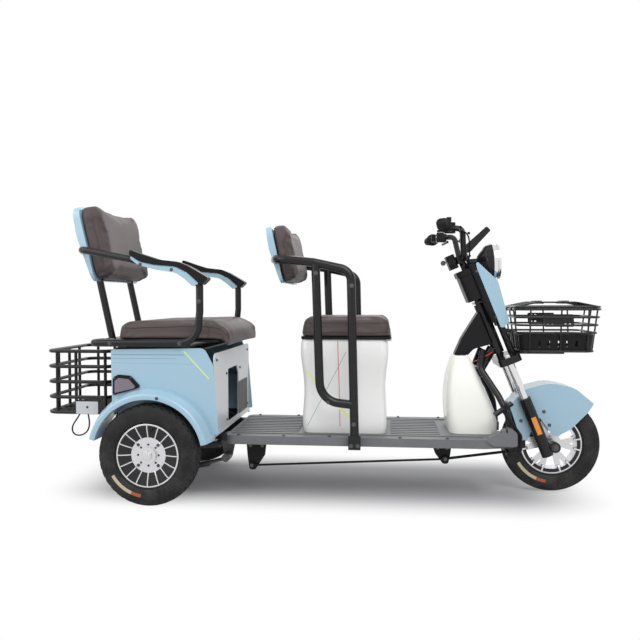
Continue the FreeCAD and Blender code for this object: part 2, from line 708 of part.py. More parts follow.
def driver_frame():
    """Both hoops with the cross tube behind the driver's backrest."""
    hoop = driver_hoop()
    cross = rod(12, vec(430, -HOOP_Y + 88, 892), vec(430, HOOP_Y - 88, 892))
    return joined([hoop, mirrored(hoop), cross])


# Baskets

def wire_basket(x, half, levels, radius, bend, uprights):
    """Horizontal wire loops at each level, with upright wires at the stated (x, y) places."""
    loops = []
    for z, grow in levels:
        corners = [vec(x[0] - grow, -half - grow, z), vec(x[1] + grow, -half - grow, z),
                   vec(x[1] + grow, half + grow, z),
                   vec(x[0] - grow, half + grow, z)]
        loops.append(ring_tube(corners, radius, bend))
    low, high = levels[0][0], levels[-1][0]
    for place in uprights:
        loops.append(rod(radius - 1, vec(place[0], place[1], low), vec(place[0], place[1], high)))
    return loops


def rear_basket():
    """Five hoops on uprights, with floor wires and struts to the body's rear wall."""
    x = (REAR_BASKET_BACK, REAR_BASKET_FRONT)
    half = REAR_BASKET_HALF
    levels = [REAR_BASKET_LOW + REAR_BASKET_STEP * i for i in range(5)]
    places = []
    for y in (-half, half):
        places += [(-424, y), (-348, y), (-230, y)]
    for y in (-90, 0, 90):
        places += [(x[0], y), (x[1], y)]
    pieces = wire_basket(x, half, [(z, 0) for z in levels], WIRE_R, 40, places)
    for y in (-135, -90, -45, 0, 45, 90, 135):
        pieces.append(rod(FLOOR_WIRE_R, vec(x[0], y, levels[0]), vec(x[1], y, levels[0])))
    for y in (-112, 112):
        for z in (levels[1], levels[3]):
            pieces.append(rod(FLOOR_WIRE_R, vec(x[1], y, z), vec(BODY_REAR, y, z)))
    return joined(pieces)


def rear_carrier():
    """Two flat arms that carry the rear basket from the frame, and a light plate on its side."""
    floor = REAR_BASKET_LOW - WIRE_R - SEAT_GAP
    member = DECK_TOP - DECK_WALL - RIB_H - RAIL_H + KICK - SEAT_GAP
    end = REAR_BASKET_BACK - 4
    arm = side_plate([(end, floor, 0), (end, floor - 6, 0), (-300, floor - 16, 30), (-112, floor - 16, 0),
                      (-112, member, 0), (-141, member, 0), (-141, floor, 0)], (-78, -42))
    strap = box((end, end + 36), (-42, 42), (floor - 6, floor))
    bracket = box((-345, -257), (-REAR_BASKET_HALF - WIRE_R - 3, -REAR_BASKET_HALF - WIRE_R - SEAT_GAP),
                  (REAR_BASKET_LOW - 4, REAR_BASKET_LOW + 44))
    bracket = bracket.cut(across(5, -300, REAR_BASKET_LOW + 22, (-REAR_BASKET_HALF - 20, -REAR_BASKET_HALF)))
    return joined([arm, mirrored(arm), strap]), bracket


def basket_ring(z):
    """The x pair and half width of the front basket's walls at height z."""
    inset = BASKET_TAPER * (BASKET_TOP - z) / (BASKET_TOP - BASKET_LOW)
    return (BASKET_REAR + inset, BASKET_FRONT - inset), BASKET_HALF - inset


def front_basket():
    """Rings that widen upward, few uprights, base wires and a pierced plate on each side."""
    pieces = []
    for z in (BASKET_LOW, BASKET_TOP - 3 * BASKET_STEP, BASKET_TOP - 2 * BASKET_STEP,
              BASKET_TOP - BASKET_STEP,
              BASKET_TOP):
        x, half = basket_ring(z)
        corners = [vec(x[0], -half, z), vec(x[1], -half, z), vec(x[1], half, z), vec(x[0], half, z)]
        pieces.append(ring_tube(corners, MESH_R, 40))
    thin = MESH_R - 1
    low_x, low_half = basket_ring(BASKET_LOW)
    for side in (-1, 1):
        for px in (BASKET_REAR + 50, BASKET_REAR + 160, BASKET_FRONT - 50):
            pieces.append(rod(thin, vec(px, side * low_half, BASKET_LOW),
                              vec(px, side * BASKET_HALF, BASKET_TOP)))
    for y in (-80, 0, 80):
        pieces.append(rod(thin, vec(low_x[0], y, BASKET_LOW), vec(BASKET_REAR, y, BASKET_TOP)))
        pieces.append(rod(thin, vec(low_x[1], y, BASKET_LOW), vec(BASKET_FRONT, y, BASKET_TOP)))
    for y in (-80, -40, 0, 40, 80):
        pieces.append(rod(BASE_WIRE_R, vec(low_x[0], y, BASKET_LOW), vec(low_x[1], y, BASKET_LOW)))
    # Pierced plates between the upper rings
    x, half = basket_ring(BASKET_TOP - 1.5 * BASKET_STEP)
    y = (-half - 1.5, -half + 1.5)
    low, high = BASKET_TOP - 2.2 * BASKET_STEP, BASKET_TOP - 0.6 * BASKET_STEP
    plate = side_plate([(1426, low, 6), (1532, low, 6), (1528, high, 6), (1422, high, 6)], y)
    for px in (1438, 1454, 1500, 1516):
        plate = plate.cut(box((px - 4, px + 4), (y[0] - 1, y[1] + 1), (low + 6, low + 14)))
        plate = plate.cut(box((px - 4, px + 4), (y[0] - 1, y[1] + 1), (high - 14, high - 6)))
    return joined(pieces + [plate, mirrored(plate)])


def basket_tub():
    """Moulded tub in the lower half of the front basket, slotted along both sides."""
    low = BASKET_LOW + BASE_WIRE_R + SEAT_GAP
    high = low + TUB_H
    clear = MESH_R + 1
    wall = 3.0
    outer_rows = []
    inner_rows = []
    for z in (low, high):
        x, half = basket_ring(z)
        outer_rows.append(plan_wire((x[0] + clear, x[1] - clear), half - clear, z, 35))
        inner_rows.append(plan_wire((x[0] + clear + wall, x[1] - clear - wall), half - clear - wall,
                                    z + wall, 32))
    tub = Part.makeLoft(outer_rows, True, False).cut(Part.makeLoft(inner_rows, True, False))
    for i in range(6):
        cx = BASKET_REAR + 82 + i * 33
        tub = tub.cut(box((cx, cx + 9), (-BASKET_HALF, BASKET_HALF), (low + 12, low + 36)))
    return tub


def basket_lid():
    """Domed wire lid of the front basket, hinged along its rear rim, with clips and a lip."""
    z = BASKET_TOP + 2 * MESH_R + 1
    rise = 17.0
    x = (BASKET_REAR, BASKET_FRONT - 2)
    corners = [vec(x[0], -BASKET_HALF, z), vec(x[1], -BASKET_HALF, z), vec(x[1], BASKET_HALF, z),
               vec(x[0], BASKET_HALF, z)]
    pieces = [ring_tube(corners, MESH_R, 40)]
    mid = (x[0] + x[1]) / 2
    wires = (-105, -63, -21, 21, 63, 105)
    for y in wires:
        pieces.append(bent_tube([vec(x[0], y, z), vec(mid - 70, y, z + rise), vec(mid + 70, y, z + rise),
                                 vec(x[1], y, z)],
                                MESH_R - 1, 120))
    for px in (mid - 50, mid + 50):
        pieces.append(rod(MESH_R - 1, vec(px, wires[0], z + rise - 3), vec(px, wires[-1], z + rise - 3)))
        pieces.append(box((px - 14, px + 14), (-27, 27), (z + rise - 6, z + rise + 6)))
    pieces.append(box((x[1] - 1, x[1] + 12), (-22, 22), (z - 3, z + 3)))
    for y in (42, -54):
        pieces.append(across(MESH_R + 3, x[0], BASKET_TOP, (y, y + 12)))
        pieces.append(box((x[0] - 2.5, x[0] + 2.5), (y, y + 12), (BASKET_TOP, z)))
    return joined(pieces).cut(across(MESH_R + RUN_CLEAR, x[0], BASKET_TOP, (-60, 60)))


# Steering

def tilted(shape, height):
    """A shape drawn square about the origin, set on the steering axis at height."""
    shape.rotate(vec(0, 0, 0), vec(0, 1, 0), -RAKE)
    shape.translate(steer(0, 0, height))
    return shape


def steering_stem():
    """Steering tube through the head tube, with the fork crown and the bracket above."""
    stem = rod(STEM_R, steer(0, 0, CROWN_LOW), steer(0, 0, BAR_HEIGHT - 14))
    crown = tilted(plan_block((-26, STAY_AHEAD + 14), FORK_Y + 24, (0, CROWN_H), 24), CROWN_LOW)
    bracket = tilted(plan_block((-20, STAY_AHEAD - STAY_R), STAY_Y + 10, (0, 7), 10), HEAD_HIGH + 5)
    body = joined([stem, crown, bracket])
    for side in (-1, 1):
        body = body.cut(rod(STANCHION_R, steer(FORK_AHEAD, side * FORK_Y, 470),
                            steer(FORK_AHEAD, side * FORK_Y, 770)))
    return body


def fork_tubes():
    tube = rod(STANCHION_R, steer(FORK_AHEAD, -FORK_Y, LEG_TOP - 30),
               steer(FORK_AHEAD, -FORK_Y, CROWN_LOW + 30))
    return pair(tube)


def fork_legs():
    """Lower legs with the axle lugs ahead of them and the front axle between."""
    leg = rod(LEG_R, steer(FORK_AHEAD, -FORK_Y, LEG_END), steer(FORK_AHEAD, -FORK_Y, LEG_TOP))
    lug = across(20, WHEELBASE, WHEEL_R, (-FORK_Y - 12, -FORK_Y + 12))
    centre = steer(FORK_AHEAD, 0, WHEEL_R)
    arm = box((centre.x, WHEELBASE), (-FORK_Y - 12, -FORK_Y + 12), (WHEEL_R - 18, WHEEL_R + 16))
    boss_at = steer(FORK_AHEAD, 0, 300)
    boss = across(9, boss_at.x, boss_at.z, (-FORK_Y, -FENDER_W - SEAT_GAP))
    leg = leg.multiFuse([lug, arm, boss])
    leg = leg.cut(rod(STANCHION_R, steer(FORK_AHEAD, -FORK_Y, LEG_TOP - 30),
                      steer(FORK_AHEAD, -FORK_Y, LEG_TOP + 20)))
    axle = across(AXLE_R, WHEELBASE, WHEEL_R, (-FORK_Y, FORK_Y))
    return joined([leg, mirrored(leg), axle])


def front_fender():
    """Deep front fender: a crown over the wheel with cheeks down both sides."""
    half = FENDER_W
    outline = [(1630, 345, 6), (1560, 404, 90), (1470, 424, 160), (1382, 400, 60), (1318, 336, 16),
               (1363, 200, 6),
               (1388, 206, 6), (1424, 300, 10), (1485, 214, 20), (1545, 246, 10), (1608, 311, 10)]
    inside = [(1626, 341, 0), (1558, 400, 87), (1470, 420.6, 157), (1384, 397, 57), (1322, 334, 13),
              (1306, 318, 0),
              (1306, 190, 0), (1650, 190, 0), (1650, 300, 0)]
    return side_plate(outline, (-half, half)).cut(side_plate(inside, (-half + 3, half - 3)))


def basket_carrier():
    """Stays ahead of the fork crown and the arms that carry the front basket."""
    pieces = []
    arm_low = BASKET_LOW - MESH_R - 6 - SEAT_GAP
    rear_wall = basket_ring(602 + STAY_AHEAD * SIN_RAKE)[0][0]
    for side in (-1, 1):
        y = side * STAY_Y
        foot = steer(STAY_AHEAD, y, CROWN_LOW + CROWN_H * COS_RAKE + SEAT_GAP)
        pieces.append(rod(STAY_R, foot, steer(STAY_AHEAD, y, HEAD_HIGH + 24)))
        root = steer(STAY_AHEAD, y, 602)
        pieces.append(rod(6, root, vec(rear_wall - MESH_R - SEAT_GAP, y, root.z)))
        low = steer(STAY_AHEAD, y, arm_low - STAY_AHEAD * SIN_RAKE + 4)
        pieces.append(rod(6, vec(low.x, y, arm_low), vec(BASKET_FRONT - 110, y, arm_low)))
    return joined(pieces[:3]), joined(pieces[3:])


def handlebar():
    """Stem clamp, risers and the swept bar."""
    y = GRIP_HALF
    clamp = steer(0, 0, BAR_HEIGHT)
    bend = GRIP_Z + 2
    bar = bent_tube([vec(1034, -y - GRIP_L / 2, GRIP_Z), vec(1068, -y + 90, bend), vec(1128, -150, bend),
                     clamp.add(vec(6, -70, -8)), clamp.add(vec(6, 70, -8)), vec(1128, 150, bend),
                     vec(1068, y - 90, bend), vec(1034, y + GRIP_L / 2, GRIP_Z)],
                    BAR_R, 42)
    block = plan_block((-26, 26), 44, (-14, 16), 12)
    block.rotate(vec(0, 0, 0), vec(0, 1, 0), -RAKE)
    block.translate(clamp.add(vec(4, 0, -8)))
    stem = rod(STEM_R + RUN_CLEAR, steer(0, 0, BAR_HEIGHT - 60), steer(0, 0, BAR_HEIGHT - 14))
    return joined([bar, block]).cut(stem)


def grips():
    """Thick rubber grip over the right-hand end of the bar, swelling where the palm rests."""
    y = GRIP_HALF
    start, end = vec(1034, -y - GRIP_L / 2, GRIP_Z), vec(1068, -y + 90, GRIP_Z + 2)
    line = end.sub(start)
    rows = [(-3, 0, 0), (-3, GRIP_R, 5), (0.25 * GRIP_L, GRIP_R + 1, 30), (0.6 * GRIP_L, PALM_R, 60),
            (GRIP_L - 20, GRIP_R + 2, 12), (GRIP_L - 4, GRIP_R + 1, 0), (GRIP_L - 4, 0, 0)]
    grip = spun(rows, 0, 0, 0)
    grip.Placement = FreeCAD.Placement(start, FreeCAD.Rotation(vec(1, 0, 0), line))
    return grip.cut(rod(BAR_R, start, end))


def bar_controls():
    """Right-hand lever perch with its brake lever and the threaded boss for a mirror."""
    y = -(GRIP_HALF - GRIP_L / 2 - 14)
    top = GRIP_Z + 36
    perch = box((1040, 1084), (y - 14, y + 14), (GRIP_Z - 14, GRIP_Z + 16))
    boss = rod(9, vec(1072, y, top - 24), vec(1072, y, top))
    lever = bent_tube([vec(1078, y, GRIP_Z - 6), vec(1112, y - 24, GRIP_Z - 12),
                       vec(1098, y - 132, GRIP_Z - 14)], 5, 18)
    body = joined([perch, boss, lever])
    bar = rod(BAR_R, vec(1034, -GRIP_HALF - GRIP_L / 2, GRIP_Z), vec(1068, -GRIP_HALF + 90, GRIP_Z + 2))
    hole = rod(MIRROR_R, vec(1072, y, top - MIRROR_DEEP), vec(1072, y, top + 6))
    return body.cut(bar).cut(hole)


def bar_switches():
    """Switch pod behind the bar clamp, with its key barrel."""
    pod = plan_block((-56, -22 - SEAT_GAP), 34, (-26, 30), 8)
    key = across(13, -40, 4, (-52, -34))
    horn = across(9, -44, 14, (34, 44))
    pod = joined([pod, key, horn])
    pod.rotate(vec(0, 0, 0), vec(0, 1, 0), -RAKE)
    pod.translate(steer(0, 0, BAR_HEIGHT).add(vec(4, 0, -8)))
    return pod.cut(rod(STEM_R + 1, steer(0, 0, BAR_HEIGHT - 60), steer(0, 0, BAR_HEIGHT + 60)))


def latch_lever():
    """Lever on the front of the bar clamp that folds the handlebar."""
    lever = side_plate([(16.144, 11, 0), (40.144, 21, 10), (116.144, 103, 7), (100.144, 119, 7),
                        (24.144, 51, 12), (0.144, 25, 0)],
                       (-9, 9))
    lever.translate(steer(0, 0, BAR_HEIGHT))
    return lever


def column_cover():
    """Dark cover of the steering column, hollow round the stem, with a raised cap."""
    outer = plan_block((-40, 30), 62, (0, COVER_H), 22)
    cap = plan_block((-44, 30), 66, (COVER_H - 22, COVER_H - 2), 24)
    inner = plan_block((-36, 26), 58, (-1, COVER_H - 4), 18)
    bore = plan_block((-STEM_R - 1, STEM_R + 1), STEM_R + 1, (COVER_H - 10, COVER_H + 10), STEM_R)
    return tilted(joined([outer, cap]).cut(inner).cut(bore), COVER_LOW)


def cowl():
    """Blue front cowl below the headlight."""
    back_top = steer(COWL_BACK, 0, 842)
    back_low = steer(COWL_BACK, 0, 622)
    outline = [(1184, 893, 6), (1270, 811, 24), (1313, 657, 12), (1294, 634, 6), (back_low.x, back_low.z, 2),
               (back_top.x, back_top.z, 8)]
    inside_top = steer(COWL_BACK - 14, 0, 842)
    inside_low = steer(COWL_BACK - 14, 0, 600)
    inside = [(1186, 886, 4), (1266, 809, 22), (1309, 658, 10), (1292, 638, 4), (1278, 620, 0),
              (inside_low.x, inside_low.z, 0), (inside_top.x, inside_top.z, 0)]
    half = COWL_HALF
    lamp = spun([(-LAMP_DEEP - 2, 0, 0), (-LAMP_DEEP - 2, 27, 0), (-0.58 * LAMP_DEEP, LAMP_R - 5, 20),
                 (0, LAMP_R + 5, 0), (20, LAMP_R + 5, 0), (20, 0, 0)], LAMP_X, LAMP_Z, LAMP_TILT)
    return side_plate(outline, (-half, half)).cut(side_plate(inside, (-half + SKIN, half - SKIN))).cut(lamp)


def lamp_bracket():
    """Dark plate behind the cowl, and the boss on it that carries the headlight."""
    low, high = 646.0, 886.0
    plate = tilted(plan_block((COWL_BACK - 24, COWL_BACK - SEAT_GAP), COWL_HALF + 3, (0, high - low), 8), low)
    hollow = tilted(box((COWL_BACK - 20, COWL_BACK + 1), (-COWL_HALF + 1, COWL_HALF - 1),
                        (-1, high - low - 4)), low)
    cover = tilted(plan_block((-45, 31), 67, (-2, COVER_H + 1), 24), COVER_LOW)
    head = rod(HEAD_R + 6, steer(0, 0, HEAD_LOW), steer(0, 0, HEAD_HIGH + 4))
    boss = spun([(-LAMP_DEEP - 40, 0, 0), (-LAMP_DEEP - 40, 15, 0), (-LAMP_DEEP - SEAT_GAP, 15, 0),
                 (-LAMP_DEEP - SEAT_GAP, 0, 0)], LAMP_X, LAMP_Z, LAMP_TILT)
    inside = tilted(box((-60, COWL_BACK - 22), (-80, 80), (-60, 90)), high - 40)
    return plate.cut(hollow).cut(cover).cut(head).fuse(boss.cut(inside))


def headlight():
    """Hollow bucket, rim and domed lens of the round headlight."""
    r, deep = LAMP_R, LAMP_DEEP
    bucket = spun([(-deep, 0, 0), (-deep, 22, 10), (-0.58 * deep, r - 10, 26), (0, r, 0), (0, r - 3, 0),
                   (-0.56 * deep, r - 13, 24), (4 - deep, 20, 8), (4 - deep, 0, 0)], LAMP_X, LAMP_Z,
                   LAMP_TILT)
    ring = spun([(SEAT_GAP, r - 5, 0), (SEAT_GAP, r + 3, 2), (11, r + 1, 3), (11, r - 5, 0)], LAMP_X,
                LAMP_Z, LAMP_TILT)
    reach, sag, wall = r - 5.3, 14.0, 3.0
    bow = (reach ** 2 + sag ** 2) / (2 * sag)
    middle = 4.0 + sag - bow
    edges = []
    ends = []
    for radius in (bow, bow - wall):
        rows = [vec(middle + math.sqrt(radius ** 2 - h ** 2), 0, h) for h in (reach, reach / 2, 0)]
        edges.append(Part.Arc(*rows).toShape())
        ends.append((rows[0], rows[2]))
    edges.append(Part.LineSegment(ends[0][1], ends[1][1]).toShape())
    edges.append(Part.LineSegment(ends[0][0], ends[1][0]).toShape())
    lens = Part.Face(Part.Wire(Part.__sortEdges__(edges))).revolve(vec(0, 0, 0), vec(1, 0, 0), 360)
    lens.rotate(vec(0, 0, 0), vec(0, 1, 0), -LAMP_TILT)
    lens.translate(vec(LAMP_X, 0, LAMP_Z))
    return bucket, ring, lens


def reflectors():
    """Amber strips on the outer sides of the fork legs."""
    middle = steer(FORK_AHEAD, 0, 262)
    strip = box((-9, 9), (-FORK_Y - LEG_R - 5, -FORK_Y - LEG_R - SEAT_GAP), (-34, 34))
    strip.rotate(vec(0, 0, 0), vec(0, 1, 0), -RAKE)
    strip.translate(middle)
    return pair(strip)


# Wheels

def tyre(x, y):
    """Tyre section turned about the wheel axis: beads, bulged sidewalls and a round crown."""
    half = TYRE_W / 2
    lip = FLANGE_Y - 3.2
    top = FLANGE_R + 0.5
    profile = [
        (-lip, BEAD_R + 0.2, 0), (lip, BEAD_R + 0.2, 0), (lip, top, 0), (half - 6, top, 8), (half, 142, 20),
        (half - 8, 174, 16),
        (16, WHEEL_R, 30), (-16, WHEEL_R, 30), (-half + 8, 174, 16), (-half, 142, 20), (-half + 6, top, 8),
        (-lip, top, 0),
    ]
    shape = turned(profile, x, WHEEL_R)
    shape.translate(vec(0, y, 0))
    return shape


def rim_window(kind, y):
    """The opening between two spokes: plain wedges, or the two kinds of a forked spoke."""
    z = WHEEL_R
    rows = {
        "wedge": [(-9, z + 67, 3), (9, z + 67, 3), (14, z + 95, 3), (-14, z + 95, 3)],
        "wide": [(-7, z + 40, 4), (7, z + 40, 4), (21, z + 95, 4), (-21, z + 95, 4)],
        "fork": [(0, z + 66, 2), (9, z + 95, 3), (-9, z + 95, 3)],
    }
    return side_plate(rows[kind], y)


def rim(x, y, windows, bore, side):
    """Cast rim: barrel with flanges, hub, and a dished face cut into spokes."""
    f = FLANGE_Y
    profile = [
        (-f, BEAD_R - 8, 0), (-f, FLANGE_R, 1), (-f + 3, FLANGE_R, 1), (-f + 3, BEAD_R, 0),
        (f - 3, BEAD_R, 0), (f - 3, FLANGE_R, 1),
        (f, FLANGE_R, 1), (f, BEAD_R - 8, 0),
    ]
    barrel = turned(profile, 0, WHEEL_R)
    face_y = side * 14.0
    face = turned([(face_y - 4, bore, 0), (face_y - 4, BEAD_R - 7, 0), (face_y + 4, BEAD_R - 7, 0),
                   (face_y + 4, bore, 0)],
                  0, WHEEL_R)
    # Each row: kind of window, how many, turned on from upright by degrees
    for kind, count, start in windows:
        window = rim_window(kind, (face_y - 6, face_y + 6))
        for i in range(count):
            cut = window.copy()
            cut.rotate(vec(0, 0, WHEEL_R), vec(0, 1, 0), start + i * 360.0 / count)
            face = face.cut(cut)
    hub = turned([(-f, bore, 0), (-f, 30, 0), (f, 30, 0), (f, bore, 0)], 0, WHEEL_R)
    shape = joined([barrel, face, hub])
    shape.translate(vec(x, y, 0))
    return shape


def write_all():
    os.makedirs("parts", exist_ok=True)
    frame = main_frame()
    save("main_frame", frame)
    save("neck_guard", neck_guard())
    save("neck_cover", neck_cover())
    save("deck", deck())
    save("hoop_brackets", hoop_brackets())
    save("leg_shield", leg_shield())
    save("foot_brake", foot_brake())
    save("brake_linkage", brake_linkage())
    save("rear_axle", rear_axle())
    save("leaf_springs", leaf_springs())
    panel, well = side_panel()
    save("side_panel_right", Part.makeCompound([panel, well]))
    save("side_panel_left", Part.makeCompound([mirrored(panel), mirrored(well)]))
    save("body_front", body_front())
    save("body_top", body_top())
    save("body_rear", body_rear())
    lens, surround = tail_lights()
    save("tail_lights", lens)
    save("tail_surrounds", surround)
    save("bench_base", bench_base())
    save("bench_cushion", bench_cushion())
    bench = bench_frame()
    save("bench_frame", bench)
    save("bench_back_pad", back_pad(-250, BACK_LOW, BACK_H, BACK_HALF, BACK_LEAN, BACK_PAD).cut(bench))
    save("bench_back_shell", back_shell(-250, BACK_LOW, BACK_H, BACK_HALF - 2, BACK_LEAN, 30).cut(bench))
    pad, under = armrests()
    save("armrest_pads", pair(pad))
    save("armrest_shells", pair(under))
    save("seat_box", seat_box())
    save("driver_base", driver_base())
    save("driver_cushion", driver_cushion())
    hoops = driver_frame()
    save("driver_frame", hoops)
    pad = back_pad(468, DRIVER_BACK_LOW, DRIVER_BACK_H, DRIVER_BACK_HALF, DRIVER_LEAN, DRIVER_PAD)
    save("driver_back_pad", pad.cut(hoops))
    shell = back_shell(468, DRIVER_BACK_LOW, DRIVER_BACK_H, DRIVER_BACK_HALF - 2, DRIVER_LEAN, 26)
    save("driver_back_shell", shell.cut(hoops))
    save("rear_basket", rear_basket())
    arms, plate = rear_carrier()
    save("rear_carrier", arms)
    save("plate_bracket", plate)
    save("front_basket", front_basket())
    save("basket_tub", basket_tub())
    save("basket_lid", basket_lid())
    stem = steering_stem()
    save("steering_stem", stem)
    save("fork_tubes", fork_tubes())
    save("fork_legs", fork_legs())
    save("front_fender", front_fender())
    carrier = Part.makeCompound([side.cut(stem) for side in basket_carrier()])
    save("basket_carrier", carrier)
    save("bar_controls", pair(bar_controls()))
    bars = handlebar()
    save("handlebar", bars)
    save("grips", pair(grips()))
    save("bar_switches", bar_switches().cut(bars))
    save("latch_lever", latch_lever().cut(bars))
    save("column_cover", column_cover())
    bracket = lamp_bracket().cut(carrier).cut(stem).cut(bars)
    save("lamp_bracket", bracket)
    save("cowl", cowl().cut(carrier).cut(bracket))
    bucket, ring, lens = headlight()
    save("headlight_bucket", bucket)
    save("headlight_rim", ring)
    save("headlight_lens", lens)
    save("reflectors", reflectors())
    save("front_tyre", tyre(WHEELBASE, 0))
    save("front_rim", rim(WHEELBASE, 0, (("wide", 6, 0), ("fork", 6, 30)), AXLE_R + RUN_CLEAR, -1))
    for name, side in (("right", -1), ("left", 1)):
        save("rear_tyre_" + name, tyre(0, side * TRACK / 2))
        save("rear_rim_" + name, rim(0, side * TRACK / 2, (("wedge", 16, 0),), AXLE_R + RUN_CLEAR, side))


write_all()
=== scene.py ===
import json
import math

import bmesh
import bpy
from mathutils import Matrix, Vector
from mathutils.bvhtree import BVHTree


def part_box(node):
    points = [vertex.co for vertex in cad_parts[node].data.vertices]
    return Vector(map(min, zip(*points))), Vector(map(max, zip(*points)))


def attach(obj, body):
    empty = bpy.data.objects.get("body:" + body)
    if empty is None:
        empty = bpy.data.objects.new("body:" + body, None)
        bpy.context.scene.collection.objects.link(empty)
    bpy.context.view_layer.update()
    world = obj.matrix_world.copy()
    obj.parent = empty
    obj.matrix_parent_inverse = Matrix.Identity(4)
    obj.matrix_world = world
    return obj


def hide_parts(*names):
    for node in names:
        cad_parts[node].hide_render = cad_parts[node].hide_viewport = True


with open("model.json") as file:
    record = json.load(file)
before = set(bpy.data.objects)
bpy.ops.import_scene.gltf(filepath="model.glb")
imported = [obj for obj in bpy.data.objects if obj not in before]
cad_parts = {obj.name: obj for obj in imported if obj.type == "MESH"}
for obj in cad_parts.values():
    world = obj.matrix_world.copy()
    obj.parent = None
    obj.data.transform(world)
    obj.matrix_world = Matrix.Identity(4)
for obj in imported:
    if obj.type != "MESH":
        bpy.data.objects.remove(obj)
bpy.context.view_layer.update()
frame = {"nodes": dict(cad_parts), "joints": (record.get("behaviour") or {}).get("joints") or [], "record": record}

bl_info = {
    "name": "Electric Tricycle",
    "version": (1, 0, 0),
    "blender": (4, 5, 0),
    "location": "3D View > Sidebar > Tricycle",
    "description": "Dresses the tricycle's frame with finished pieces and materials",
    "category": "Object",
}

# Places on the frame, in metres. X runs forward, Y to the rider's left, Z up.
JOINT = {joint["name"]: joint for joint in frame["joints"]}
FRONT_AXLE = Vector(JOINT["front_wheel_spin"]["pos_m"])
REAR_AXLES = {side: Vector(JOINT["rear_wheel_" + side + "_spin"]["pos_m"]) for side in ("right", "left")}
REAR_X = REAR_AXLES["right"].x
STEER_AXIS = Vector(JOINT["steering_turn"]["axis"]).normalized()
AHEAD = Vector((STEER_AXIS.z, 0, -STEER_AXIS.x))
TYRE_R = FRONT_AXLE.z
BACK_LEAN = math.radians(13)
DRIVER_LEAN = math.radians(12)


class TricycleSizes(bpy.types.PropertyGroup):
    tread_depth: bpy.props.FloatProperty(
        name="Tread depth", description="How far the tread blocks stand off the casing",
        default=0.0038, min=0.001, max=0.008, unit="LENGTH")
    tread_blocks: bpy.props.IntProperty(
        name="Tread blocks", description="Blocks in each ring round the tyre", default=36, min=18, max=60)
    piping: bpy.props.FloatProperty(
        name="Piping radius", description="Radius of the sewn piping on the cushions",
        default=0.0022, min=0.001, max=0.006, unit="LENGTH")
    swell: bpy.props.FloatProperty(
        name="Cushion swell", description="The furthest that a pad may bulge from its cut shape",
        default=0.010, min=0.0, max=0.03, unit="LENGTH")
    voxel: bpy.props.FloatProperty(
        name="Pad mesh size", description="Edge length of the mesh that the pads are swollen with",
        default=0.007, min=0.004, max=0.02, unit="LENGTH")
    stripe: bpy.props.FloatProperty(
        name="Stripe width", description="Width of the coloured lines on the panels",
        default=0.0045, min=0.001, max=0.02, unit="LENGTH")


def tint(name, red, green, blue):
    """A colour setting with its default in linear light."""
    return bpy.props.FloatVectorProperty(
        name=name, description=name + " of the tricycle", subtype="COLOR", size=3, min=0, max=1,
        default=(red, green, blue))


class TricycleColours(bpy.types.PropertyGroup):
    blue: tint("Body blue", 0.305, 0.468, 0.574)
    white: tint("Box white", 0.80, 0.80, 0.79)
    ivory: tint("Shield ivory", 0.83, 0.84, 0.78)
    panel: tint("Panel grey", 0.52, 0.54, 0.57)
    black: tint("Frame black", 0.010, 0.010, 0.011)
    moulding: tint("Moulding black", 0.009, 0.009, 0.010)
    deck: tint("Deck grey", 0.125, 0.128, 0.138)
    hide: tint("Leather brown", 0.082, 0.063, 0.062)
    rubber: tint("Rubber", 0.013, 0.013, 0.014)
    amber: tint("Reflector amber", 0.80, 0.26, 0.02)
    smoke: tint("Lamp smoke", 0.16, 0.13, 0.16)


def sizes():
    return bpy.context.scene.tricycle_sizes


def colours():
    return bpy.context.scene.tricycle_colours


def from_axle(x, y, z):
    """A point measured forward from the rear axle."""
    return Vector((REAR_X + x, y, z))


# Shader groups

def wire(tree, node, links):
    """Feeds a node's inputs: (input name or number, the socket that feeds it or a value)."""
    for where, what in links:
        if isinstance(what, bpy.types.NodeSocket):
            tree.links.new(what, node.inputs[where])
        else:
            node.inputs[where].default_value = what
    return node


def add(tree, kind, links=(), **settings):
    """A node with its settings and links."""
    node = tree.nodes.new("ShaderNode" + kind)
    for key, value in settings.items():
        setattr(node, key, value)
    return wire(tree, node, links)


def maths(tree, operation, a, b=0.0, c=0.0, clamp=False):
    return add(tree, "Math", [(0, a), (1, b), (2, c)], operation=operation, use_clamp=clamp).outputs[0]


def times(tree, a, b, clamp=False):
    return maths(tree, "MULTIPLY", a, b, clamp=clamp)


def plus(tree, a, b, clamp=False):
    return maths(tree, "ADD", a, b, clamp=clamp)


def minus(tree, a, b):
    return maths(tree, "SUBTRACT", a, b)


def scaled(tree, vector, by):
    return add(tree, "VectorMath", operation="SCALE", links=[(0, vector), ("Scale", by)]).outputs[0]


def along(tree, place, way):
    """How far a point lies along a direction."""
    return add(tree, "VectorMath", [(0, place), (1, way)], operation="DOT_PRODUCT").outputs["Value"]


def between(tree, value, low, high):
    """1 where low < value < high."""
    return times(tree, maths(tree, "GREATER_THAN", value, low), maths(tree, "LESS_THAN", value, high))


def blended(tree, factor, a, b):
    """Two colours mixed."""
    node = add(tree, "Mix", data_type="RGBA")
    return wire(tree, node, [(0, factor), (6, a), (7, b)]).outputs[2]


def noise(tree, vector, scale, detail=3.0):
    return add(tree, "TexNoise", [("Vector", vector), ("Scale", scale), ("Detail", detail)]).outputs["Fac"]


def ramp(tree, value, start, end, **settings):
    """0 at start to 1 at end."""
    links = [("Value", value), ("From Min", start), ("From Max", end)]
    return add(tree, "MapRange", links, **settings).outputs[0]


def bumped(tree, height, strength, distance):
    return add(tree, "Bump", [("Height", height), ("Strength", strength), ("Distance", distance)]).outputs[0]


